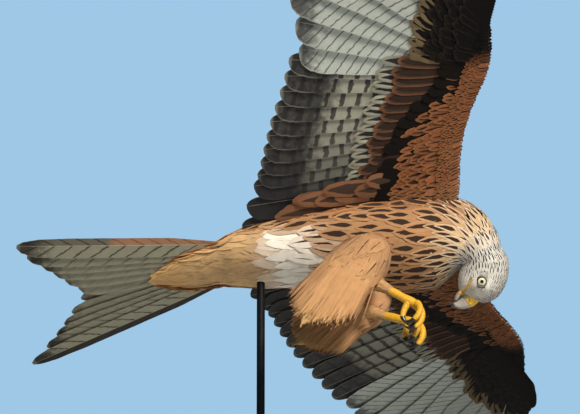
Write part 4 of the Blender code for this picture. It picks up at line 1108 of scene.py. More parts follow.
def flight_roots(pose):
    """Span and ahead of the root, angle and length of every tertial, secondary and primary."""
    t = np.arange(TERTIALS) / (TERTIALS - 1)
    span = 0.050 + 0.048 * t
    tertial = rows_of(span, trail_at(pose, span) + 0.030, -3.0 * (1.0 - t),
        (0.160 - 0.006 * t) * pose["reach"])
    t = np.arange(SECONDARIES) / (SECONDARIES - 1)
    span = 0.112 + 0.124 * t
    secondary = rows_of(span, trail_at(pose, span) + 0.018,
        SECONDARY_IN + (pose["s_out"] - SECONDARY_IN) * t ** 1.2, (0.150 + 0.040 * t) * pose["reach"])
    t = np.arange(PRIMARIES) / (PRIMARIES - 1)
    primary = rows_of(0.247 + 0.088 * t, 0.080 + 0.022 * t + 0.5 * (1.0 + t) * pose["lead"],
        pose["p_in"] + (pose["p_out"] - pose["p_in"]) * t, np.array(PRIMARY_LENGTHS) * pose["hand"])
    return tertial, secondary, primary


def laid(place, at_span, at_ahead, lifts, turn, slope, way=1.0):
    """Midlines in a wing's or the tail's plane: the sideways way of their tilted webs and the upward
    way come from a tiny step each way through the same frame."""
    tiny = 1e-4
    mids = place(at_span, at_ahead, lifts)
    side = unit(place(at_span + tiny * np.cos(turn), at_ahead + tiny * np.sin(turn), lifts + tiny * slope)
        - mids)
    up = unit(place(at_span, at_ahead, lifts + tiny * way) - mids)
    return mids, side, unit(up - side * np.sum(up * side, axis=-1, keepdims=True))


def plane_vanes(place, roots, shares, lifts, tilt, webs, halves, across, thick, paint, chart, spread, draw,
        bend=0.0):
    """Vanes laid in a wing's or the tail's plane: straight shafts with a slight bend, tilted webs.

    place maps span, ahead and lift to the body frame; lifts are heights (vanes, stations)."""
    span, ahead, angle, size = roots.T
    count = len(roots)
    way = np.radians(angle)[:, None] + bend * shares[None, :]
    sunk = shares * (1.0 + SINK / size[:, None]) - SINK / size[:, None]
    run = sunk * size[:, None]
    at_span = span[:, None] + run * np.sin(way)
    at_ahead = ahead[:, None] - run * np.cos(way)
    mids, side, up = laid(place, at_span, at_ahead, lifts, way, tilt)
    outline = np.interp(shares, *zip(*webs))
    rag = 1.0 - NICK * draw.random((count, len(shares))) * ease(0.25, 0.5, shares)[None, :]
    width = outline[None, :, None] * rag[..., None] * np.asarray(halves)[..., None, :]
    width = np.broadcast_to(width, (count, len(shares), 2))
    return vane_set(mids, side, up, width, 0.045, thick * (1.0 - 0.45 * shares), across, paint, chart, spread)


class KITE_OT_body_feathers(bpy.types.Operator):
    """Small plumage of head, neck, breast, belly, back and tail coverts"""

    bl_idname = "kite.body_feathers"
    bl_label = "Body feathers"

    def execute(self, context):
        colours, sizes = palette(context), context.scene.kite_sizes
        surface = body_surface()
        groups = (("head_feathers", 0.0, 1.05, "head_plumage", "Head_plumes", 7.0, 0.06, 0.05, 0.20),
            ("neck_feathers", 1.05, 2.05, "neck_plumage", "Neck_plumes", 20.0, 0.07, 0.05, 0.32),
            ("body_feathers", 2.05, 4.1, "body_plumage", "Body_plumage", 34.0, 0.10, 0.06, 0.40))
        layers = [coat_layer(surface, colours, sizes, COAT, False, 11),
                  coat_layer(surface, colours, sizes, STREAKED, True, 15)]
        for name, low, high, slot, finish, *look in groups:
            parts = [grown(surface, layer, (layer["stage"] >= low) & (layer["stage"] < high))
                for layer in layers]
            join_vanes(name, parts, contour_material(finish, *look), slot)
        return {"FINISHED"}


def coat_layer(surface, colours, sizes, table, streaked, seed):
    """Roots, sizes and markings of one layer of feathers over the whole body."""
    stage_rows = surface["stage"]
    keys = table[:, 0]
    a, b = scatter(surface, np.interp(stage_rows, keys, table[:, 1]),
        np.interp(stage_rows, keys, table[:, 2]), seed)
    draw = np.random.default_rng(seed + 1)
    stage = np.interp(a, np.arange(BODY_ROWS), stage_rows)
    turn = 2.0 * np.pi * np.mod(b, BODY_COLUMNS) / BODY_COLUMNS
    spot = sample(surface["points"], a, b)
    made = {"a": a, "b": b, "stage": stage,
            "size": np.interp(stage, keys, table[:, 3]) * draw.uniform(0.86, 1.14, len(a)),
            "half": np.interp(stage, keys, table[:, 4]) * draw.uniform(0.88, 1.12, len(a)),
            "depth": np.interp(stage, keys, table[:, 5]), "lean": draw.normal(0.0, 0.09, len(a)),
            "roll": draw.normal(0.0, 0.02 if streaked else 0.05, len(a)),
            "paint": body_paint(colours, stage, turn, spot, draw, streaked),
            "chart": rows_of(0.02 + 0.56 * stage / 4.0, 0.52 + 0.46 * turn / (2.0 * np.pi))}
    if streaked:
        proud = np.interp(stage, (0.4, 1.0, 2.0, 2.5, 2.7), (0.0006, 0.0010, 0.0013, 0.0011, 0.0003))
        made["proud"] = proud * draw.uniform(0.85, 1.15, len(a))
    else:
        lifts = (0.0002, 0.0005, sizes.proud, sizes.proud, 0.0003)
        proud = np.interp(stage, (0.0, 1.0, 2.0, 2.6, 2.8), lifts)
        made["proud"] = proud * draw.uniform(0.1, 1.0, len(a))
    lance = np.interp(stage, (0.0, 1.5, 2.1, 2.5, 2.8), (1.0, 1.0, 0.0, 0.2, 0.9))[:, None]
    made["web"] = POINTED_WEB * lance + ROUND_WEB * (1.0 - lance)
    made["thick"] = np.interp(stage, (0.0, 1.0, 2.0), (0.5, 0.6, 0.7)) * sizes.feather_thick
    made["keep"] = clear_of_bare_parts(surface, made, spot)
    if streaked:
        made["keep"] &= stage > keys[0]
    return made


def grown(surface, layer, pick):
    """Vanes of the picked feathers of a layer."""
    which = np.flatnonzero(pick & layer["keep"])
    keys = ("a", "b", "size", "half", "depth", "lean", "proud", "web")
    paint = {key: value[which] for key, value in layer["paint"].items()}
    return coat_vanes(surface, *[layer[key][which] for key in keys], 0.03, layer["thick"][which][:, None],
        paint, layer["chart"][which], layer["roll"][which])


def clear_of_bare_parts(surface, made, spot):
    """False for feathers that would cover an eye or the gape, or grow inside a wing."""
    shares = CONTOUR_SHARES[::2]
    flat = np.zeros((len(spot), len(shares)))
    mids, _ = walk(surface, made["a"], made["b"], made["size"], made["lean"], flat, shares)
    local = in_head(mids)
    eye = np.hypot(local[..., 0], local[..., 2])
    on_side = np.abs(local[..., 1]) > 0.008
    covers = ((eye < 0.0070) & on_side).any(axis=1)
    lip = (np.abs(local[..., 2] - MOUTH_LINE) < 0.0014) & (local[..., 0] > GAPE_CORNER) & on_side
    return ~(covers | (lip.any(axis=1) & (made["stage"] < 1.0)) | hidden_by_wing(spot))


class KITE_OT_thigh_feathers(bpy.types.Operator):
    """Loose, frayed trousers of both thighs"""

    bl_idname = "kite.thigh_feathers"
    bl_label = "Trousers"

    def execute(self, context):
        colours, sizes = palette(context), context.scene.kite_sizes
        finish = contour_material("Loose_trouser_plumes", 40.0, 0.05, 0.07, 0.10)
        for index, (word, leg) in enumerate(LEGS.items()):
            parts = []
            surface = thigh_surface(leg)
            rows = len(surface["points"])
            for layer, (gap_along, gap_round, dark_share, dark) in enumerate(((0.0046, 0.0032, 0.0, 0.0),
                    (0.0170, 0.0115, 0.55, 0.10))):
                draw = np.random.default_rng(30 + index + 5 * layer)
                a, b = scatter(surface, np.full(rows, gap_along), np.full(rows, gap_round),
                    33 + index + 7 * layer)
                pick = a < (rows - 1) * (1.0 if layer == 0 else 0.8)
                a, b = a[pick], b[pick]
                share = a / (rows - 1)
                size = np.interp(share, (0.0, 0.5, 1.0), (0.044, 0.042, sizes.fray + 0.004))
                size = size * draw.uniform(0.75, 1.20, len(a))
                half = np.interp(share, (0.0, 0.6, 1.0), (0.0052, 0.0036, 0.0014)) * (1.0 + 0.7 * layer)
                paint = trouser_paint(colours, share, np.where(draw.random(len(a)) < dark_share, dark, 0.0),
                    draw)
                parts.append(coat_vanes(surface, a, b, size, half * draw.uniform(0.7, 1.2, len(a)),
                    np.interp(share, (0.0, 0.5, 1.0), (0.0050, 0.0040, 0.0010)) / (1.0 + 2.0 * layer),
                    draw.normal(0.0, 0.09, len(a)), draw.uniform(0.0, 0.0008, len(a)) + 0.0009 * layer,
                    POINTED_WEB, 0.10, 0.8 * sizes.feather_thick, paint, thigh_chart(index, share, b),
                    draw.normal(0.0, 0.07, len(a))))
            parts.append(hem_plumes(colours, sizes, leg, surface, index))
            parts.append(sock_plumes(colours, sizes, leg, index))
            join_vanes("thigh_feathers_" + word, parts, finish, "body_plumage")
        return {"FINISHED"}


def sock_plumes(colours, sizes, leg, index):
    """Short plumes round the top of the shank, down to a third of it."""
    draw = np.random.default_rng(120 + index)
    hock, knuckle = np.array(leg["hock"]), np.array(leg["knuckle"])
    shank = unit(knuckle - hock)
    side = unit(np.cross(shank, (0.0, 1.0, 0.0)))
    centre = hock + shank * np.linspace(-0.016, 0.014, 16)[:, None]
    radius = np.linspace(0.0135, 0.0062, 16)[:, None]
    surface = surface_of(ring_points(centre, side * radius, np.cross(shank, side) * radius, 24, 2.0),
        np.zeros(3))
    surface["normals"] = unit(surface["points"] - centre[:, None])
    a, b = scatter(surface, np.full(16, 0.0026), np.full(16, 0.0022), 130 + index)
    count = len(a)
    paint = trouser_paint(colours, np.full(count, 0.75), np.zeros(count), draw)
    return coat_vanes(surface, a, b, draw.uniform(0.008, 0.014, count), draw.uniform(0.0011, 0.0018, count),
        np.full(count, 0.0012), draw.normal(0.0, 0.12, count), draw.uniform(0.0, 0.0008, count), POINTED_WEB,
        0.05, 0.6 * sizes.feather_thick, paint, thigh_chart(index, np.full(count, 0.98), 2.0 * b),
        draw.normal(0.0, 0.1, count))


def trouser_paint(colours, share, dark, draw):
    """Markings: rufous at the hip, paler to the hem, with a few thin dark shafts."""
    count = len(share)
    tint = shade_run(colours, ("flank", "thigh", "thigh", "undertail"), (0.0, 0.30, 0.62, 1.0), share)
    tint = tint * draw.normal(1.0, 0.04, count)[:, None].clip(0.85, 1.15)
    return markings(count, tint=(tint, 1.0), mark=(colours["streak"], dark), fringe=(colours["belly"], 0.20))


def thigh_chart(index, share, b):
    """Place in the bake map: one block for each thigh, unwrapped along and round."""
    return rows_of(0.62 + 0.18 * index + 0.16 * share, 0.52 + 0.46 * np.mod(b, 48) / 48)


def hem_plumes(colours, sizes, leg, surface, index):
    """Loose plumes that leave the thigh and hang on along its axis to a broad ragged hem."""
    draw = np.random.default_rng(90 + index)
    count = 1500
    rows = len(surface["points"])
    share = draw.uniform(0.38, 0.93, count)
    a, b = share * (rows - 1), draw.uniform(0.0, 48.0, count)
    hip, end = np.array(leg["hip"]), np.array(leg["end"])
    reach = np.linalg.norm(end - hip)
    axis = (end - hip) / reach
    broad = unit(np.cross(axis, (0.0, 1.0, 0.0)))
    spot, normal = sample(surface["points"], a, b), unit(sample(surface["normals"], a, b))
    along = (spot - hip) @ axis / reach
    out = spot - (hip + along[:, None] * reach * axis)
    aside = out @ broad
    size = 1.0 - 0.17 * (aside / 0.034) ** 2 + draw.normal(0.0, 0.022, count) - along
    size = np.maximum(size * reach, 0.010)[:, None, None]
    way = unit(axis + draw.normal(0.0, 0.04, (count, 3))
        + broad * (aside * draw.uniform(0.0, np.where(aside > 0.0, 7.0, 2.0)))[:, None])
    run = CONTOUR_SHARES[None, :, None]
    inward = (out - broad * aside[:, None])[:, None] * 0.8 * run ** 1.6
    mids = spot[:, None] - 0.0024 * normal[:, None] * (1.0 - run) + way[:, None] * size * run - inward
    side, up = frames(mids, np.repeat(normal[:, None], len(CONTOUR_SHARES), axis=1),
        draw.normal(0.0, 0.15, count))
    half = draw.uniform(0.0014, 0.0030, count)
    widths = np.repeat(half[:, None, None] * POINTED_WEB[None, :, None], 2, axis=2)
    paint = trouser_paint(colours, np.clip(share + 0.1, 0.0, 1.0), np.zeros(count), draw)
    return vane_set(mids, side, up, widths, 0.10, 0.6 * sizes.feather_thick, 3, paint,
        thigh_chart(index, share, b))


class KITE_OT_flight_feathers(bpy.types.Operator):
    """Primaries, secondaries and tertials of both wings"""

    bl_idname = "kite.flight_feathers"
    bl_label = "Flight feathers"

    def execute(self, context):
        colours, sizes = palette(context), context.scene.kite_sizes
        shares = np.concatenate((np.linspace(0.0, 0.88, 34), np.linspace(0.90, 1.0, 10)))
        finish = quill_material("Flight_feather_keratin", tuple(linear("cfc8ba")), 210.0)
        for index, (word, pose) in enumerate(WING_POSE.items()):
            draw = np.random.default_rng(50 + index)
            tertial, secondary, primary = flight_roots(pose)
            place = partial(wing_place, pose["side"])
            inner = np.concatenate((tertial, secondary))
            count = len(inner)
            t = np.arange(count) / (count - 1)
            under = blend(colours["secondary_dark"] * 1.7, colours["secondary"], ease(0.05, 0.85, t))
            # Painted shade: the far wing's secondaries are darkened by its shade factor
            under = under * draw.normal(pose["shade"], 0.05 * pose["shade"], count)[:, None]
            number = inner[:, 3] / 0.0180
            paint = markings(count, tint=(under, 0.75 + 0.25 * t),
                mark=(colours["secondary_dark"], 0.66 + 0.03 * t), back=(colours["quill_upper"], 0.0),
                bars=(rows_of(number, 0.25, 0.140), 0.0))
            chart = rows_of(0.012 + 0.041 * np.arange(count), 0.02)
            lifts = np.zeros((count, len(shares)))
            sets = [plane_vanes(place, inner, shares, lifts, VANE_TILT, FULL_WEB,
                np.array(SECONDARY_WEBS) * pose["web"], 11, sizes.quill_thick, paint, chart, (0.036, 0.44),
                draw, 0.03)]
            count = PRIMARIES
            order = np.arange(count)
            fingers = order >= PRIMARIES // 2
            under = np.where(fingers[:, None], colours["window"] * 0.9, colours["window"])
            # Painted shade: the far wing's primaries are darkened a little by its shade factor
            under = under * np.linspace(1.0, 0.60, count)[:, None] * pose["shade"] ** 0.3
            mark = blend(colours["secondary_dark"] * 2.2, colours["finger"], ease(2.0, 5.5, order))
            back = blend(colours["quill_upper"], colours["finger"], ease(0.0, 6.0, order))
            paint = markings(count, tint=(under, np.where(fingers, 0.35, 0.85)),
                mark=(mark, np.interp(order, (0, 3, 5, 9), (0.90, 0.80, 0.52, 0.40))),
                back=(back, np.where(fingers, 0.7, 0.12)), bars=(rows_of(primary[:, 3] / 0.0118, 1.3, 0.075),
                0.9))
            for pick, web, halves in ((~fingers, FULL_WEB, INNER_PRIMARY_WEBS),
                    (fingers, FINGER_WEB, FINGER_WEBS)):
                which = np.flatnonzero(pick)
                step = np.repeat(-0.0003 * which[:, None], len(shares), axis=1)
                chart = rows_of(0.012 + 0.095 * which, np.full(len(which), 0.50))
                sets.append(plane_vanes(place, primary[which], shares, step, VANE_TILT, web, halves, 13,
                    sizes.quill_thick, {key: value[which] for key, value in paint.items()}, chart,
                    (0.085, 0.47), draw, 0.02))
            join_vanes("flight_feathers_" + word, sets, finish, "wing_feathers", "wing_" + word)
        return {"FINISHED"}


def lie_at(pose, span):
    """Angle of the coverts from straight back, following the quills under them."""
    keys = (0.030, 0.050, 0.112, 0.236, 0.262, 0.335)
    values = (0.0, -3.0, SECONDARY_IN, pose["s_out"], pose["p_in"] + 8.0, pose["p_out"] * 0.92)
    return np.interp(span, keys, values)


def covert_vanes(pose, way, roots, half, floor, depth, paint, draw, chart_at, web=LARGE_COVERT_WEB, tilt=0.5,
        proud=0.0004, thick=0.00035):
    """Coverts on one side of a wing: way is -1 below and 1 above, floor the least height."""
    count = len(roots)
    shares = CONTOUR_SHARES
    span, ahead, angle, size = roots.T
    turn = np.radians(angle)[:, None]
    run = shares[None, :] * size[:, None]
    at_span = span[:, None] + run * np.sin(turn)
    at_ahead = ahead[:, None] - run * np.cos(turn)
    swell = swell_at(pose, at_span, at_ahead)
    body = np.maximum(swell, floor)
    sink = np.minimum(depth, 0.75 * body[:, :1])
    lift = body - sink * (1.0 - shares) ** 1.35 + proud * draw.uniform(0.2, 1.8, (count, 1)) * shares
    mids, side, up = laid(partial(wing_place, pose["side"]), at_span, at_ahead, way * lift, turn,
        tilt * VANE_TILT, way)
    outline = np.interp(shares, *zip(*web))
    width = outline[None, :, None] * np.broadcast_to(half, (count,))[:, None, None] * np.ones((1, 1, 2))
    u0, v0 = chart_at
    chart = rows_of(u0 + 0.22 * span / 0.36, v0 + 0.34 * (ahead + 0.08) / 0.24)
    # Painted shade: under the far wing the coverts' colours are darkened by its shade factor, their alphas
    # kept
    if way < 0.0:
        painted_shade = np.array((1.0, 1.0, 1.0, 0.0)) * pose["shade"] + np.array((0.0, 0.0, 0.0, 1.0))
        paint = {key: value * painted_shade for key, value in paint.items()}
    return vane_set(mids, side, up, width, 0.05, thick, 3, paint, chart)


def covert_grid(pose, low_span, high_span, gap, rows, draw):
    """Roots in staggered rows; rows are distances behind the leading edge."""
    spans, backs = [], []
    for index, back in enumerate(rows):
        line = np.arange(low_span + gap * 0.5 * (index % 2), high_span, gap)
        spans.append(line + draw.uniform(-0.15, 0.15, len(line)) * gap)
        backs.append(np.full(len(line), back) + draw.uniform(-0.0008, 0.0008, len(line)))
    span, back = np.concatenate(spans), np.concatenate(backs)
    ahead = lead_at(pose, span) - back
    inside = ahead > trail_at(pose, span) + 0.016
    return span[inside], ahead[inside], back[inside]


class KITE_OT_wing_coverts(bpy.types.Operator):
    """Coverts, axillaries, scapulars and alula of both wings, below and above"""

    bl_idname = "kite.wing_coverts"
    bl_label = "Wing coverts"

    def execute(self, context):
        colours = palette(context)
        finish = contour_material("Covert_vanes", 30.0, 0.09, 0.05)
        for index, (word, pose) in enumerate(WING_POSE.items()):
            for way, face in ((-1.0, "under"), (1.0, "upper")):
                draw = np.random.default_rng(70 + index + (10 if way > 0 else 0))
                chart_at = (0.02 + 0.24 * (2 * index + (way > 0)), 0.04)
                sets = small_rows(colours, pose, way, draw, chart_at)
                sets += large_rows(colours, pose, way, draw, chart_at)
                join_vanes("wing_coverts_%s_%s" % (face, word), sets, finish, "wing_feathers")
        return {"FINISHED"}


def small_rows(colours, pose, way, draw, chart_at):
    """Marginal and lesser coverts on the flesh of arm and hand."""
    made = []
    marginal = covert_grid(pose, 0.046, 0.352, 0.0042, np.arange(0.0012, 0.020, 0.0042), draw)
    lesser = covert_grid(pose, 0.040, 0.350, 0.0078, np.arange(0.015, 0.125, 0.0090), draw)
    band = np.interp(lesser[0], BAND_SPANS, BAND_TIPS) - 0.046
    lesser = [part[(lesser[2] < band) | (lesser[0] > 0.225)] for part in lesser]
    for (span, ahead, back), size, half, depth in ((lesser, 0.033, 0.0056, 0.0040),
            (marginal, 0.015, 0.0027, 0.0022)):
        count = len(span)
        angle = lie_at(pose, span) * 0.8 + draw.normal(0.0, 4.0, count)
        roots = rows_of(span, ahead, angle, size * draw.uniform(0.85, 1.15, count))
        hand = ease(0.222, 0.250, span + 0.25 * (back - 0.03))
        if way < 0.0:
            tint = blend(colours["lesser"], colours["flank"], ease(0.090, 0.040, span) * 0.6)
            tint = blend(tint, colours["carpal"], hand)
            dark = np.where(draw.random(count) < 0.85, draw.uniform(0.16, 0.40, count), 0.0)
            edge, rim = colours["rufous_edge"], 0.22 * (1.0 - hand)
            mark = blend(colours["streak"], colours["carpal"], hand)
        else:
            tint = blend(colours["mantle"], colours["quill_upper"], hand * 0.8)
            dark = 0.50 * draw.uniform(0.7, 1.2, count)
            edge, rim = colours["covert_edge"], 0.75 * (1.0 - 0.6 * hand)
            mark = colours["streak"]
        tint = tint * draw.normal(1.0, 0.10, count)[:, None].clip(0.72, 1.3)
        paint = markings(count, tint=(tint, 1.0), mark=(mark, dark), fringe=(edge, rim))
        made.append(covert_vanes(pose, way, roots, half * draw.uniform(0.9, 1.1, count), 0.0, depth, paint,
            draw, chart_at, web=LESSER_WEB, proud=0.0002, thick=0.0002))
    return made


def large_rows(colours, pose, way, draw, chart_at):
    """Greater and median coverts, primary coverts, alula, axillaries or scapulars."""
    made = []
    near = 0.0010 if way < 0.0 else 0.0
    for kind, gap, first, tips, size, half, floor in LARGE_ROWS:
        span = np.arange(first, 0.246, gap)
        count = len(span)
        reach = np.interp(span, (0.0, 0.12, 0.24), (1.0, 1.0, pose["reach"]))
        back = np.interp(span, BAND_SPANS, tips) * reach - size + draw.normal(0.0, 0.0026, count)
        roots = rows_of(span, lead_at(pose, span) - back, lie_at(pose, span) + draw.normal(0.0, 1.5, count),
            size * draw.uniform(0.94, 1.08, count))
        made.append(covert_vanes(pose, way, roots, half, floor + near, 0.0016,
            covert_paint(colours, kind, way, span, draw), draw, chart_at, tilt=1.0))
    primary = flight_roots(pose)[2]
    for kind, shift, size, grow, half, floor in (("primary", 0.0, 0.058, 0.0042, 0.0100, 0.0030),
            ("hand", 0.008, 0.050, 0.0030, 0.0090, 0.0038), ("hand", 0.015, 0.042, 0.0025, 0.0080, 0.0045),
            ("hand", 0.022, 0.034, 0.0020, 0.0070, 0.0050)):
        at = np.linspace(-0.4, PRIMARIES - 1.0, 27)
        roots = np.stack([np.interp(at, np.arange(PRIMARIES), primary[:, k]) for k in range(4)], axis=1)
        roots[:, 1] += shift
        roots[:, 2] += draw.normal(0.0, 1.5, len(at))
        roots[:, 3] = (size + grow * at) * draw.uniform(0.86, 1.12, len(at))
        paint = covert_paint(colours, kind, way, roots[:, 0], draw)
        made.append(covert_vanes(pose, way, roots, half, floor + near, 0.0014, paint, draw, chart_at,
            tilt=1.0))
    if way > 0.0:
        span = 0.243 + 0.006 * np.arange(4)
        roots = rows_of(span, lead_at(pose, span) - 0.007, np.array((48.0, 54.0, 60.0, 66.0)) + 6.0,
            np.array((0.034, 0.044, 0.052, 0.058)))
        made.append(covert_vanes(pose, way, roots, 0.0068, 0.0050, 0.0014,
            covert_paint(colours, "primary", way, span, draw), draw, chart_at))
    made.append(root_feathers(colours, pose, way, draw, chart_at))
    return made


def root_feathers(colours, pose, way, draw, chart_at):
    """Axillaries below and scapulars above: long soft feathers over the wing's root."""
    count = 9 if way < 0.0 else 20
    t = np.arange(count) / (count - 1)
    if way < 0.0:
        ahead = np.interp(t, (0.0, 1.0), (0.022, -0.052))
        span = np.interp(t, (0.0, 0.4, 1.0), (0.076, 0.070, 0.056)) + draw.uniform(-0.004, 0.004, count)
        size = np.interp(t, (0.0, 0.5, 1.0), (0.070, 0.104, 0.112)) * draw.uniform(0.9, 1.05, count)
        angle = draw.normal(4.0, 3.0, count)
        kind, half = "axillary", 0.0120
    else:
        ahead = np.interp(t, (0.0, 1.0), (0.044, -0.054))
        span = 0.050 + 0.018 * draw.random(count)
        size = np.interp(t, (0.0, 1.0), (0.050, 0.082))
        angle = draw.normal(-5.0, 3.0, count)
        kind, half = "scapular", 0.0120
    roots = rows_of(span, ahead, angle, size)
    floor = np.where(way < 0.0, 0.0070, 0.0075)
    return covert_vanes(pose, way, roots, half, floor, 0.0045, covert_paint(colours, kind, way, span, draw),
        draw, chart_at, tilt=0.6, proud=0.0016)


# Vane, centre, the centre's half width, edge and the edge's strength, by row and side of the wing
COVERT_LOOKS = {
    ("greater", -1.0): ("secondary", "secondary_dark", 0.60, "tail_under", 0.8),
    ("median", -1.0): ("covert_dark", "streak", 0.72, "covert_edge", 0.68),
    ("inner", -1.0): ("band", "band", 0.9, "band", 0.0),
    ("primary", -1.0): ("covert_buff", "carpal", 0.74, "covert_buff", 0.3),
    ("hand", -1.0): ("carpal", "carpal", 0.8, "covert_dark", 0.25),
    ("axillary", -1.0): ("axillary", "covert_dark", 0.56, "covert_edge", 0.25),
    ("greater", 1.0): ("covert_dark", "quill_upper", 0.6, "covert_edge", 0.7),
    ("median", 1.0): ("covert_pale", "streak", 0.25, "neck_edge", 0.6),
    ("inner", 1.0): ("mantle", "streak", 0.45, "covert_edge", 0.7),
    ("primary", 1.0): ("quill_upper", "finger", 0.5, "covert_dark", 0.4),
    ("hand", 1.0): ("quill_upper", "finger", 0.5, "mantle", 0.4),
    ("scapular", 1.0): ("mantle", "streak", 0.42, "covert_edge", 0.7),
}


def covert_paint(colours, kind, way, span, draw):
    """Markings of the larger coverts by row and side of the wing."""
    count = len(span)
    vane, centre, dark, edge, rim = COVERT_LOOKS[(kind, way)]
    tint = colours[vane] * draw.normal(1.0, 0.14, count)[:, None].clip(0.7, 1.3)
    dark = dark * draw.uniform(0.65, 1.2, count)
    return markings(count, tint=(tint, 1.0), mark=(colours[centre], dark), fringe=(colours[edge], rim))


class KITE_OT_tail(bpy.types.Operator):
    """Twelve forked tail feathers"""

    bl_idname = "kite.tail"
    bl_label = "Tail"

    def execute(self, context):
        colours, sizes = palette(context), context.scene.kite_sizes
        shares = np.concatenate((np.linspace(0.0, 0.88, 30), np.linspace(0.90, 1.0, 8)))
        finish = quill_material("Tail_feather_keratin", tuple(linear("d8d2c2")), 190.0)
        draw = np.random.default_rng(90)
        sets = []
        count = len(TAIL_TIP_X)
        order = np.arange(count)
        root_y, tip_y = np.array(TAIL_ROOT_Y), np.array(TAIL_TIP_Y)
        back = TAIL_ROOT_X - np.array(TAIL_TIP_X)
        angle = np.degrees(np.arctan2(tip_y - root_y, back))
        roots = rows_of(root_y, np.full(count, TAIL_ROOT_X), angle, np.hypot(tip_y - root_y, back))
        for side in (-1, 1):
            place = partial(tail_place, side)
            # Painted light: the left fork's feathers grow up to a quarter lighter outwards, for the light
            # that falls on it
            under = colours["tail_under"] * np.linspace(1.0, 1.0 if side < 0 else 1.25, count)[:, None]
            web = np.array((0.0, 0.0, 0.0, 0.10, 0.25, 0.95 if side > 0 else 0.5))
            paint = markings(count, tint=(under, np.array((0.15, 0.15, 0.2, 0.3, 0.55, 0.9))),
                mark=(colours["tail_dark"], np.linspace(0.97, 0.86, count)),
                back=(colours["tail_upper"], web), bars=(rows_of(roots[:, 3] / 0.0220, 0.9, 0.080), 0.0))
            paint["edge"] = np.where((side < 0) & (order == count - 1), 0.55, 0.0)
            lifts = np.repeat(TAIL_OVERLAP * (side > 0) * (order == 0)[:, None], len(shares), axis=1)
            chart = rows_of(0.012 + 0.16 * order, 0.02 if side < 0 else 0.51)
            shorter = roots.copy()
            shorter[-1, 3] *= OUTER_SHARE if side < 0 else 1.0
            sets.append(plane_vanes(place, shorter, shares, lifts, TAIL_TILT, TAIL_WEB, TAIL_WEBS, 11,
                sizes.quill_thick, paint, chart, (0.145, 0.46), draw, 0.0))
        join_vanes("tail_feathers", sets, finish, "tail_feathers", "tail")
        return {"FINISHED"}


def soft_bump(value, centre, width):
    """Bell curve."""
    return np.exp(-((value - centre) / width) ** 2)


def bill_points(rings, columns, rows, square):
    """Fine sections of one half of the bill through its few named rings."""
    centre, up, side = profile_sections(rings)
    run = np.concatenate(([0.0], np.cumsum(np.linalg.norm(np.diff(centre, axis=0), axis=1))))
    at = np.linspace(0.0, run[-1], rows)
    return ring_points(*[through(run, part, at) for part in (centre, up, side)], columns, square)


def horn_material(colours):
    """Bill keratin, smooth and a little waxy: yellow cere, grey horn, dark hook."""
    made, node = new_material("Bill_horn_and_cere", 0.36, IOR=1.54, Coat_Weight=0.15, Coat_Roughness=0.25)
    yellow, hook, hollow = [node("Attribute", attribute_name=key)["Fac"] for key in ("cere", "hook",
        "hollow")]
    place = node("TexCoord")["Object"]
    noise = node("TexNoise", place, 700.0, 4.0)[0]
    broad = node("TexNoise", place, 160.0, 2.0)[0]
    base = node("Mix", hook, colours["horn"], colours["horn_tip"], **RGBA)
    base = node("Mix", node("Math", broad, 0.3, **TIMES), base, colours["horn_tip"], **RGBA)
    gold = node("Mix", node("Math", noise, 0.5, **TIMES), colours["cere"], colours["foot"] * 0.7, **RGBA)
    base = node("Mix", yellow, base, gold, **RGBA)
    # Painted shade: the nostrils' dents are darkened near black for the shade inside their openings
    base = node("Mix", hollow, base, linear("1d1713"), **RGBA)
    return coloured(made, base, 0.2, 0.0002, noise)


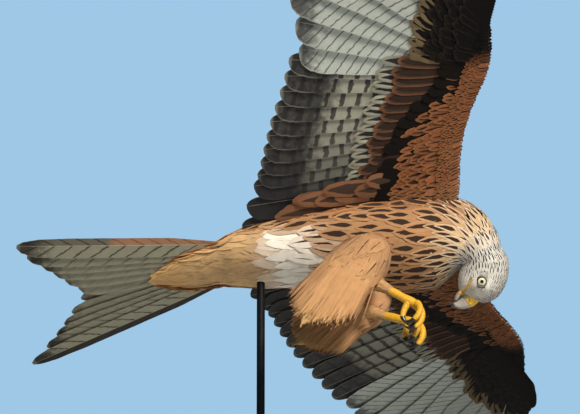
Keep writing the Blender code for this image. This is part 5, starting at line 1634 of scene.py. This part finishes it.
class KITE_OT_bill(bpy.types.Operator):
    """Hooked bill with its cere, nostrils and gape"""

    bl_idname = "kite.bill"
    bl_label = "Bill"

    def execute(self, context):
        colours = palette(context)
        finish = horn_material(colours)
        upper = bill_points(BILL_UPPER_RINGS, 40, 64, 2.15)
        centre = upper.mean(axis=1, keepdims=True)
        local = in_head(upper)
        forward, left, up = local[..., 0], local[..., 1], local[..., 2]
        front = 0.0304 + 0.35 * (up + 0.002)
        cere = ease(0.0008, -0.0008, forward - front) * ease(-0.0062, -0.0040, up)
        ahead = forward - NOSTRIL_AT[0]
        near = (ahead / 0.0017) ** 2 + ((up - NOSTRIL_AT[1] - 0.4 * ahead) / 0.0009) ** 2
        # Nostril dent, also painted dark as the shade inside the opening
        hollow = np.exp(-near ** 2) * (np.abs(left) > 0.003)
        rim = np.exp(-((np.sqrt(near) - 1.7) / 0.5) ** 2) * (np.abs(left) > 0.003)
        groove = soft_bump(forward - front, 0.0006, 0.0007)
        relief = 0.0004 * cere - 0.0009 * hollow + 0.00025 * rim - 0.0003 * groove
        upper = upper + unit(upper - centre) * relief[..., None]
        hook = ease(0.0395, 0.0440, forward + np.maximum(-up - 0.012, 0.0))
        piece = tube_object("bill_upper_horn", [upper], {"cere": np.append(cere, (0.0, 0.0)),
            "hook": np.append(hook, (0.0, 1.0)), "hollow": np.append(hollow, (0.0, 0.0))})
        settle(piece, finish, "bill_horn", "bill_upper")

        lower = bill_points(BILL_LOWER_RINGS, 32, 40, 2.2)
        forward = in_head(lower)[..., 0]
        piece = tube_object("bill_lower_horn", [lower],
            {"cere": np.append(ease(0.0268, 0.0240, forward), (1.0, 0.0)),
            "hook": np.append(ease(0.0330, 0.0370, forward), (0.0, 1.0)),
            "hollow": np.zeros(forward.size + 2)})
        settle(piece, finish, "bill_horn", "bill_lower")

        lips = []
        surface = body_surface()
        for side in (-1.0, 1.0):
            for level, thick in ((0.00062, 0.00058), (-0.00068, 0.00052)):
                at = np.linspace(GAPE_CORNER, 0.0262, 24)
                out = head_side(surface, at, MOUTH_LINE + level, side)
                out = np.minimum(out, np.interp(at, (0.0, 0.0225, 0.0262), (1.0, 0.0100, 0.0080)))
                curl = np.interp(at, (GAPE_CORNER, 0.006), (0.0, 1.0))
                path = from_head(at, side * (out - 0.0004), MOUTH_LINE + level * (0.3 + 0.7 * curl))
                lips.append(sweep(path, thick * np.interp(at, (GAPE_CORNER, 0.006, 0.022, 0.0262),
                    (0.35, 0.85, 1.0, 0.75)), 12))
        dark = np.zeros(sum(len(lip) * lip.shape[1] + 2 for lip in lips))
        piece = tube_object("gape_lips", lips, {"cere": dark + 1.0, "hook": dark, "hollow": dark})
        settle(piece, finish, "yellow_skin")
        return {"FINISHED"}


def head_side(surface, forward, up, side):
    """How far out the head's surface lies at a place of its profile: the nearest grid point's reach."""
    rows = surface["stage"] <= 1.0
    local = in_head(surface["points"][rows].reshape(-1, 3))
    local = local[local[:, 1] * side > 0.0]
    apart = (local[None, :, 0] - forward[:, None]) ** 2 + (local[None, :, 2] - up) ** 2
    nearest = np.argsort(apart, axis=1)[:, :3]
    return np.abs(local[nearest, 1]).mean(axis=1)


def sweep(path, radii, columns, flat=1.0, first_up=None):
    """Round tube along a path: each ring is square to the path and turns no more than it must."""
    along = unit(np.gradient(path, axis=0))
    side = np.cross(along[0], (0.0, 0.0, 1.0) if abs(along[0][2]) < 0.9 else (1.0, 0.0, 0.0))
    if first_up is not None:
        side = np.cross(first_up, along[0])
    sides = []
    for way in along:
        side = unit(side - way * (side @ way))
        sides.append(side)
    side = np.array(sides)
    up = np.cross(along, side)
    radii = np.asarray(radii)
    radii = radii if radii.ndim > 1 else radii[:, None] * np.ones((1, columns))
    turn = turns(columns)
    return (path[:, None] + up[:, None] * (np.cos(turn) * radii * flat)[..., None]
        + side[:, None] * (np.sin(turn) * radii)[..., None])


class KITE_OT_eyes(bpy.types.Operator):
    """Eyes with pale iris, and the lids round them"""

    bl_idname = "kite.eyes"
    bl_label = "Eyes"

    def execute(self, context):
        colours = palette(context)
        finish = eye_material(colours)
        lids = []
        for side, word in ((1.0, "left"), (-1.0, "right")):
            turn = np.linspace(0.006, math.pi - 0.006, 56)
            dome = EYE_RADIUS * (1.0 + 0.05 * soft_bump(turn, 0.0, 0.55))
            centre = from_head(0.0, side * EYE_OUT, 0.0)
            path = centre + HEAD_L * side * (np.cos(turn) * dome)[:, None]
            rings = ring_points(path, HEAD_U * (np.sin(turn) * dome)[:, None],
                HEAD_F * (np.sin(turn) * dome)[:, None], 48, 2.0)
            settle(tube_object("eyeball_" + word, [rings]), finish, "iris", "eye_" + word)
            around = turns(48)
            radius = 0.0066 - 0.00035 * np.sin(around) - 0.0002 * np.cos(2.0 * around)
            out = EYE_OUT + np.sqrt(EYE_RADIUS ** 2 - (radius - 0.0004) ** 2) + 0.0001
            for shift, thick in ((-0.0002, 0.00085), (0.00100, 0.00090)):
                reach = radius + shift
                path = from_head(np.cos(around) * reach, side * (out - 1.1 * shift), np.sin(around) * reach)
                way = unit(from_head(np.cos(around), 0.0, np.sin(around)) - HEAD_ORIGIN)
                lids.append((path, way * thick, HEAD_L * side * thick))
        settle(ring_pieces("eyelids", lids, 12), lid_material(colours), "yellow_skin")
        return {"FINISHED"}


def looped_faces(rows, columns):
    """Faces of a grid that closes on itself both ways."""
    r, k = np.arange(rows)[:, None], np.arange(columns)
    next_r, next_k = (r + 1) % rows * columns, (k + 1) % columns
    return rows_of(r * columns + k, r * columns + next_k, next_r + next_k, next_r + k).reshape(-1, 4)


def ring_pieces(name, rings, columns):
    """Closed rings, each a round tube that comes back to its start."""
    verts, quads, shift = [], [], 0
    turn = turns(columns)
    for path, out, up in rings:
        points = path[:, None] + out[:, None] * np.cos(turn)[None, :, None] + up * np.sin(turn)[None, :, None]
        four = looped_faces(len(path), columns)
        edge = points[1, 0] - points[0, 0]
        if np.dot(np.cross(points[0, 1] - points[0, 0], edge), out[0]) < 0.0:
            four = four[:, ::-1]
        verts.append(points.reshape(-1, 3))
        quads.append(four + shift)
        shift += len(path) * columns
    quads = np.concatenate(quads)
    return mesh_object(name, to_world(np.concatenate(verts)), quads.reshape(-1), np.full(len(quads), 4))


def lid_material(colours):
    """Thin slate skin of the lids, slightly moist."""
    made, node = new_material("Lid_skin", 0.5, Specular_IOR_Level=0.4)
    noise = node("TexNoise", node("TexCoord")["Object"], 1500.0, 2.0)[0]
    base = node("Mix", noise, colours["lid"], colours["horn"] * 0.6, **RGBA)
    return coloured(made, base, 0.5, 0.0002, noise)


def eye_material(colours):
    """Wet glassy eye: black pupil, fibrous cream iris, black rim, dark outside it."""
    made, node = new_material("Wet_eye", 0.06, IOR=1.376, Coat_Weight=0.6, Coat_Roughness=0.02)
    around, along, _ = node("SeparateXYZ", node("UVMap", uv_map="Wrap"))
    fibres = node("Math", node("Math", around, 2.0 * math.pi * 44.0, **TIMES), operation="SINE")
    noise = node("TexNoise", node("TexCoord")["Object"], 1400.0, 3.0)[0]
    iris = node("Mix", node("MapRange", along, 0.085, 0.19), colours["iris"] * 0.86, colours["iris"], **RGBA)
    shade = node("Math", fibres, 0.05, 0.86, **FUSED)
    shade = node("Math", noise, 0.22, shade, **FUSED)
    iris = node("Mix", 1.0, iris, shade, blend_type="MULTIPLY", **RGBA)
    base = node("Mix", node("MapRange", along, 0.074, 0.084), linear("060505"), iris, **RGBA)
    base = node("Mix", node("MapRange", along, 0.172, 0.188), base, linear("0d0b0a"), **RGBA)
    return coloured(made, base)


def toe_arc(start, along, curl, size, low, high, steps):
    """Arc whose way turns evenly from one angle to another, from the shank towards the curl."""
    turn = low + (high - low) * (np.arange(steps) + 0.5) / steps
    ways = along * np.cos(turn)[:, None] + curl * np.sin(turn)[:, None]
    return start + np.concatenate((np.zeros((1, 3)), np.cumsum(ways, axis=0) * size / steps))


def foot_paths(leg):
    """Middle lines of three front toes and the hind toe, each with its claw, finely stepped."""
    hock, knuckle = np.array(leg["hock"]), np.array(leg["knuckle"])
    shank = unit(knuckle - hock)
    curl = np.array(CURL_WAY)
    curl = unit(curl - shank * (curl @ shank))
    spread = np.cross(shank, curl)
    paths = []
    for index, lean in enumerate((-30.0, 0.0, 30.0)):
        turn = math.radians(lean)
        along = shank * math.cos(turn) + spread * math.sin(turn)
        start = knuckle + spread * 0.0035 * (index - 1)
        toe = toe_arc(start, along, curl, TOE_LENGTHS[index], math.radians(8.0), math.radians(118.0), 30)
        claw = toe_arc(toe[-1], along, curl, CLAW_LENGTH, math.radians(112.0), math.radians(200.0), 20)
        paths.append((toe, claw, -curl))
    start = knuckle - shank * 0.010 + curl * 0.001
    toe = toe_arc(start, shank, curl, TOE_LENGTHS[3], math.radians(96.0), math.radians(62.0), 24)
    claw = toe_arc(toe[-1], shank, curl, CLAW_LENGTH, math.radians(52.0), math.radians(-30.0), 20)
    paths.append((toe, claw, -shank))
    return shank, paths


def scaled_radii(base, rows, columns, scutes, depth):
    """Radii of a scaled toe: overlapping plates on the back, rounded pads below."""
    t = np.linspace(0.0, 1.0, rows)[:, None]
    turn = turns(columns)
    back = ease(0.1, 0.9, np.cos(turn))
    step = np.mod(t * scutes, 1.0)
    plate = np.where(step < 0.85, step / 0.85, (1.0 - step) / 0.15)
    pads = np.sin(np.pi * t * 4.0) ** 2
    under = ease(0.0, 0.9, -np.cos(turn))
    return base[:, None] * (1.0 + 0.13 * pads * under) + depth * plate * back


class KITE_OT_feet(bpy.types.Operator):
    """Scaled shanks and toes, and black claws"""

    bl_idname = "kite.feet"
    bl_label = "Feet"

    def execute(self, context):
        colours = palette(context)
        yellow, black = foot_material(colours), claw_material(colours)
        for word, leg in LEGS.items():
            shank, paths = foot_paths(leg)
            hock, knuckle = np.array(leg["hock"]), np.array(leg["knuckle"])
            start = hock - shank * 0.026
            t = np.linspace(0.0, 1.0, 60)
            radius = TARSUS_RADIUS * np.interp(t, (0.0, 0.3, 0.6, 0.85, 1.0), (1.15, 1.0, 0.92, 1.0, 1.1))
            path = start + (knuckle - start) * t[:, None]
            tubes = [sweep(path, scaled_radii(radius, 60, 24, 12, 0.00035), 24, first_up=-paths[0][2])]
            turn = np.linspace(0.05, math.pi - 0.05, 20)
            ball = knuckle - shank * (KNUCKLE_RADIUS * np.cos(turn))[:, None]
            tubes.append(sweep(ball, KNUCKLE_RADIUS * np.sin(turn), 24))
            claws = []
            for toe, claw, up in paths:
                rows = len(toe)
                share = np.linspace(0.0, 1.0, rows)
                radius = TOE_RADIUS * np.interp(share, (0.0, 0.75, 1.0), (1.1, 0.86, 0.74))
                fine = through(share, toe, np.linspace(0.0, 1.0, 72))
                radius = np.interp(np.linspace(0.0, 1.0, 72), share, radius)
                tubes.append(sweep(fine, scaled_radii(radius, 72, 20, 11, 0.00030), 20, first_up=up))
                first = unit(toe[-1] - toe[-2])
                share = np.linspace(0.0, 1.0, len(claw))
                taper = TOE_RADIUS * 0.74 * np.maximum(1.0 - share, 0.0) ** 0.72 + 0.00012
                claws.append(sweep(claw - first * 0.0012, taper, 16, 1.15, first_up=up))
            settle(tube_object("foot_skin_" + word, tubes), yellow, "yellow_skin", "tarsus_" + word,
                "foot_" + word)
            nodes = ["claw_%s_%d" % (word, number) for number in (1, 2, 3, 4)]
            settle(tube_object("claws_horn_" + word, claws), black, "claw_horn", *nodes)
        return {"FINISHED"}


def foot_material(colours):
    """Yellow scaled skin: plates on the back from the mesh, small round scales as bump."""
    made, node = new_material("Scaled_foot_skin", 0.48, IOR=1.45, Subsurface_Weight=0.08,
        Subsurface_Radius=(0.002, 0.001, 0.0005))
    place = node("TexCoord")["Object"]
    cells = node("TexVoronoi", place, 1100.0)["Distance"]
    noise = node("TexNoise", place, 220.0, 3.0)[0]
    deep = colours["foot"] * np.array((0.62, 0.52, 0.45))
    base = node("Mix", node("MapRange", cells, 0.35, 0.75), colours["foot"], deep, **RGBA)
    base = node("Mix", node("Math", noise, 0.35, **TIMES), base, deep, **RGBA)
    height = node("Math", 1.0, cells, **MINUS)
    return coloured(made, base, 0.5, 0.0003, height)


def claw_material(colours):
    """Black claw keratin, worn to a dull gloss and a little mottled."""
    made, node = new_material("Claw_keratin", 0.32, IOR=1.54)
    noise = node("TexNoise", node("TexCoord")["Object"], 900.0, 3.0)[0]
    base = node("Mix", noise, colours["claw"], colours["horn_tip"], **RGBA)
    return coloured(made, base)


def steel_material(colours):
    """Hot-blackened steel plate and rod: dark oxide, low gloss, faint mill mottling."""
    made, node = new_material("Blackened_steel", 0.42, Metallic=0.85)
    place = node("TexCoord")["Object"]
    noise = node("TexNoise", place, 60.0, 5.0)[0]
    grain = node("TexNoise", place, 1400.0, 2.0)[0]
    base = node("Mix", noise, colours["steel"] * 0.7, colours["steel"] * 1.3, **RGBA)
    rough = node("MapRange", noise, 0.3, 0.7, 0.36, 0.52)
    return coloured(made, base, 0.12, 0.0002, grain, rough=rough)


class KITE_OT_stand(bpy.types.Operator):
    """Finish of base and rod, and the collar that holds the rod"""

    bl_idname = "kite.stand"
    bl_label = "Stand"

    def execute(self, context):
        colours, sizes = palette(context), context.scene.kite_sizes
        finish = steel_material(colours)
        for node in ("stand_base", "stand_rod"):
            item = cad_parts[node]
            for slot in item.material_slots:
                slot.material = finish
        x, y, _ = to_world(np.array(ROD_AT))
        profile = np.array(((ROD_RADIUS + 0.0002, 0.0), (sizes.collar, 0.0), (sizes.collar, 0.0030),
            (sizes.collar - 0.0012, 0.0042), (0.0085, 0.0048), (0.0078, 0.0120), (0.0070, 0.0134),
            (ROD_RADIUS + 0.0002, 0.0134)))
        turn = turns(48)
        ring = rows_of(np.cos(turn), np.sin(turn))
        radius, height = profile[:, 0], profile[:, 1]
        points = np.concatenate((radius[:, None, None] * ring[None] + np.array((x, y)),
            np.broadcast_to((BASE_THICK + 0.0002 + height)[:, None, None], (len(profile), 48, 1))), axis=2)
        faces = looped_faces(len(profile), 48)
        collar = mesh_object("stand_collar", points.reshape(-1, 3), faces.reshape(-1), np.full(len(faces), 4),
            crease=math.radians(30.0))
        settle(collar, finish, "blackened_steel")
        return {"FINISHED"}


class KITE_OT_stage(bpy.types.Operator):
    """Plain floor, soft lights, pale backdrop and the camera"""

    bl_idname = "kite.stage"
    bl_label = "Stage"

    def execute(self, context):
        colours, sizes = palette(context), context.scene.kite_sizes
        corners = sizes.floor_reach * np.array(((-1.0, -1.0, 0.0), (1.0, -1.0, 0.0), (1.0, 1.0, 0.0),
            (-1.0, 1.0, 0.0)))
        floor = mesh_object("floor", corners, np.arange(4), np.array((4,)))
        made, node = new_material("Matt_floor_paint", 0.8)
        noise = node("TexNoise", node("TexCoord")["Object"], 3.0, 3.0)[0]
        base = node("Mix", node("Math", noise, 0.15, **TIMES), colours["floor"], colours["floor"] * 0.8,
            **RGBA)
        floor.data.materials.append(coloured(made, base))

        world = bpy.data.worlds.new("Backdrop")
        world.use_nodes = True
        back = world.node_tree.nodes["Background"]
        back.inputs["Color"].default_value = (*colours["sky"], 1.0)
        # The backdrop lights the bird less than it shows, as the shaded side is deep
        seen = add_node(world.node_tree, "LightPath")["Is Camera Ray"]
        level = add_node(world.node_tree, "MapRange", seen, 0.0, 1.0, BACKDROP_LIGHT, 1.0)
        world.node_tree.links.new(level, back.inputs["Strength"])
        context.scene.world = world

        bird = np.array((0.0, 0.0, 0.55))
        # Soft lamps with wide beams, the key high on the right as the sun was
        lamps = (("Key_light", (1.00, -2.35, 2.42), 0.35, 620.0, (1.0, 0.92, 0.80)),
            ("Fill_light", (1.8, -2.6, 0.3), 0.9, 9.0, (1.0, 0.93, 0.86)),
            ("Back_light", (-0.8, 2.4, 2.2), 0.8, 150.0, (1.0, 0.93, 0.84)))
        for name, spot, size, power, tint in lamps:
            lamp = bpy.data.lights.new(name, "SPOT")
            lamp.spot_size = math.radians(110.0)
            lamp.spot_blend = 1.0
            lamp.shadow_soft_size = size
            lamp.energy = power
            lamp.color = tint
            hang(name, lamp, spot, aim(np.array(spot), bird))
        camera = bpy.data.cameras.new("Camera")
        camera.lens = LENS
        camera.sensor_width = SENSOR
        camera.clip_start = 0.05
        camera.clip_end = 40.0
        context.scene.camera = hang("Camera", camera, CAMERA_AT, (math.pi / 2.0 + VIEW_LIFT, 0.0, 0.0))
        context.scene.view_settings.view_transform = "Standard"
        return {"FINISHED"}


def hang(name, data, spot, turn):
    """Puts a lamp or the camera in the scene."""
    item = bpy.data.objects.new(name, data)
    item.location = spot
    item.rotation_euler = turn
    bpy.context.scene.collection.objects.link(item)
    return item


def aim(spot, target):
    """Euler turn that points a lamp's -Z from its spot to a target."""
    way = unit(target - spot)
    tilt = math.acos(-way[2])
    return (tilt, 0.0, math.atan2(way[1], way[0]) - math.pi / 2.0)


class KITE_PT_panel(bpy.types.Panel):
    """Lists the pieces and their sizes and colours"""

    bl_idname = "KITE_PT_panel"
    bl_label = "Red kite"
    bl_space_type = "VIEW_3D"
    bl_region_type = "UI"
    bl_category = "Red kite"

    def draw(self, context):
        layout = self.layout
        for step in STEPS:
            layout.operator(step.bl_idname)
        for group in (context.scene.kite_sizes, context.scene.kite_colours):
            column = layout.column()
            for key in group.bl_rna.properties.keys():
                if key not in ("rna_type", "name"):
                    column.prop(group, key)


STEPS = (KITE_OT_skin, KITE_OT_bill, KITE_OT_eyes, KITE_OT_feet, KITE_OT_body_feathers,
         KITE_OT_thigh_feathers, KITE_OT_flight_feathers, KITE_OT_wing_coverts, KITE_OT_tail,
         KITE_OT_stand, KITE_OT_stage)
CLASSES = (KiteColours, KiteSizes, *STEPS, KITE_PT_panel)


def register():
    """Registers the classes and hangs the property groups on the scene."""
    for item in CLASSES:
        bpy.utils.register_class(item)
    bpy.types.Scene.kite_colours = PointerProperty(type=KiteColours)
    bpy.types.Scene.kite_sizes = PointerProperty(type=KiteSizes)


def unregister():
    """Takes the property groups and classes away again."""
    del bpy.types.Scene.kite_sizes
    del bpy.types.Scene.kite_colours
    for item in reversed(CLASSES):
        bpy.utils.unregister_class(item)


def main():
    """Builds every piece in order."""
    register()
    for step in STEPS:
        group, word = step.bl_idname.split(".")
        getattr(getattr(bpy.ops, group), word)()


if __name__ == "__main__":
    main()
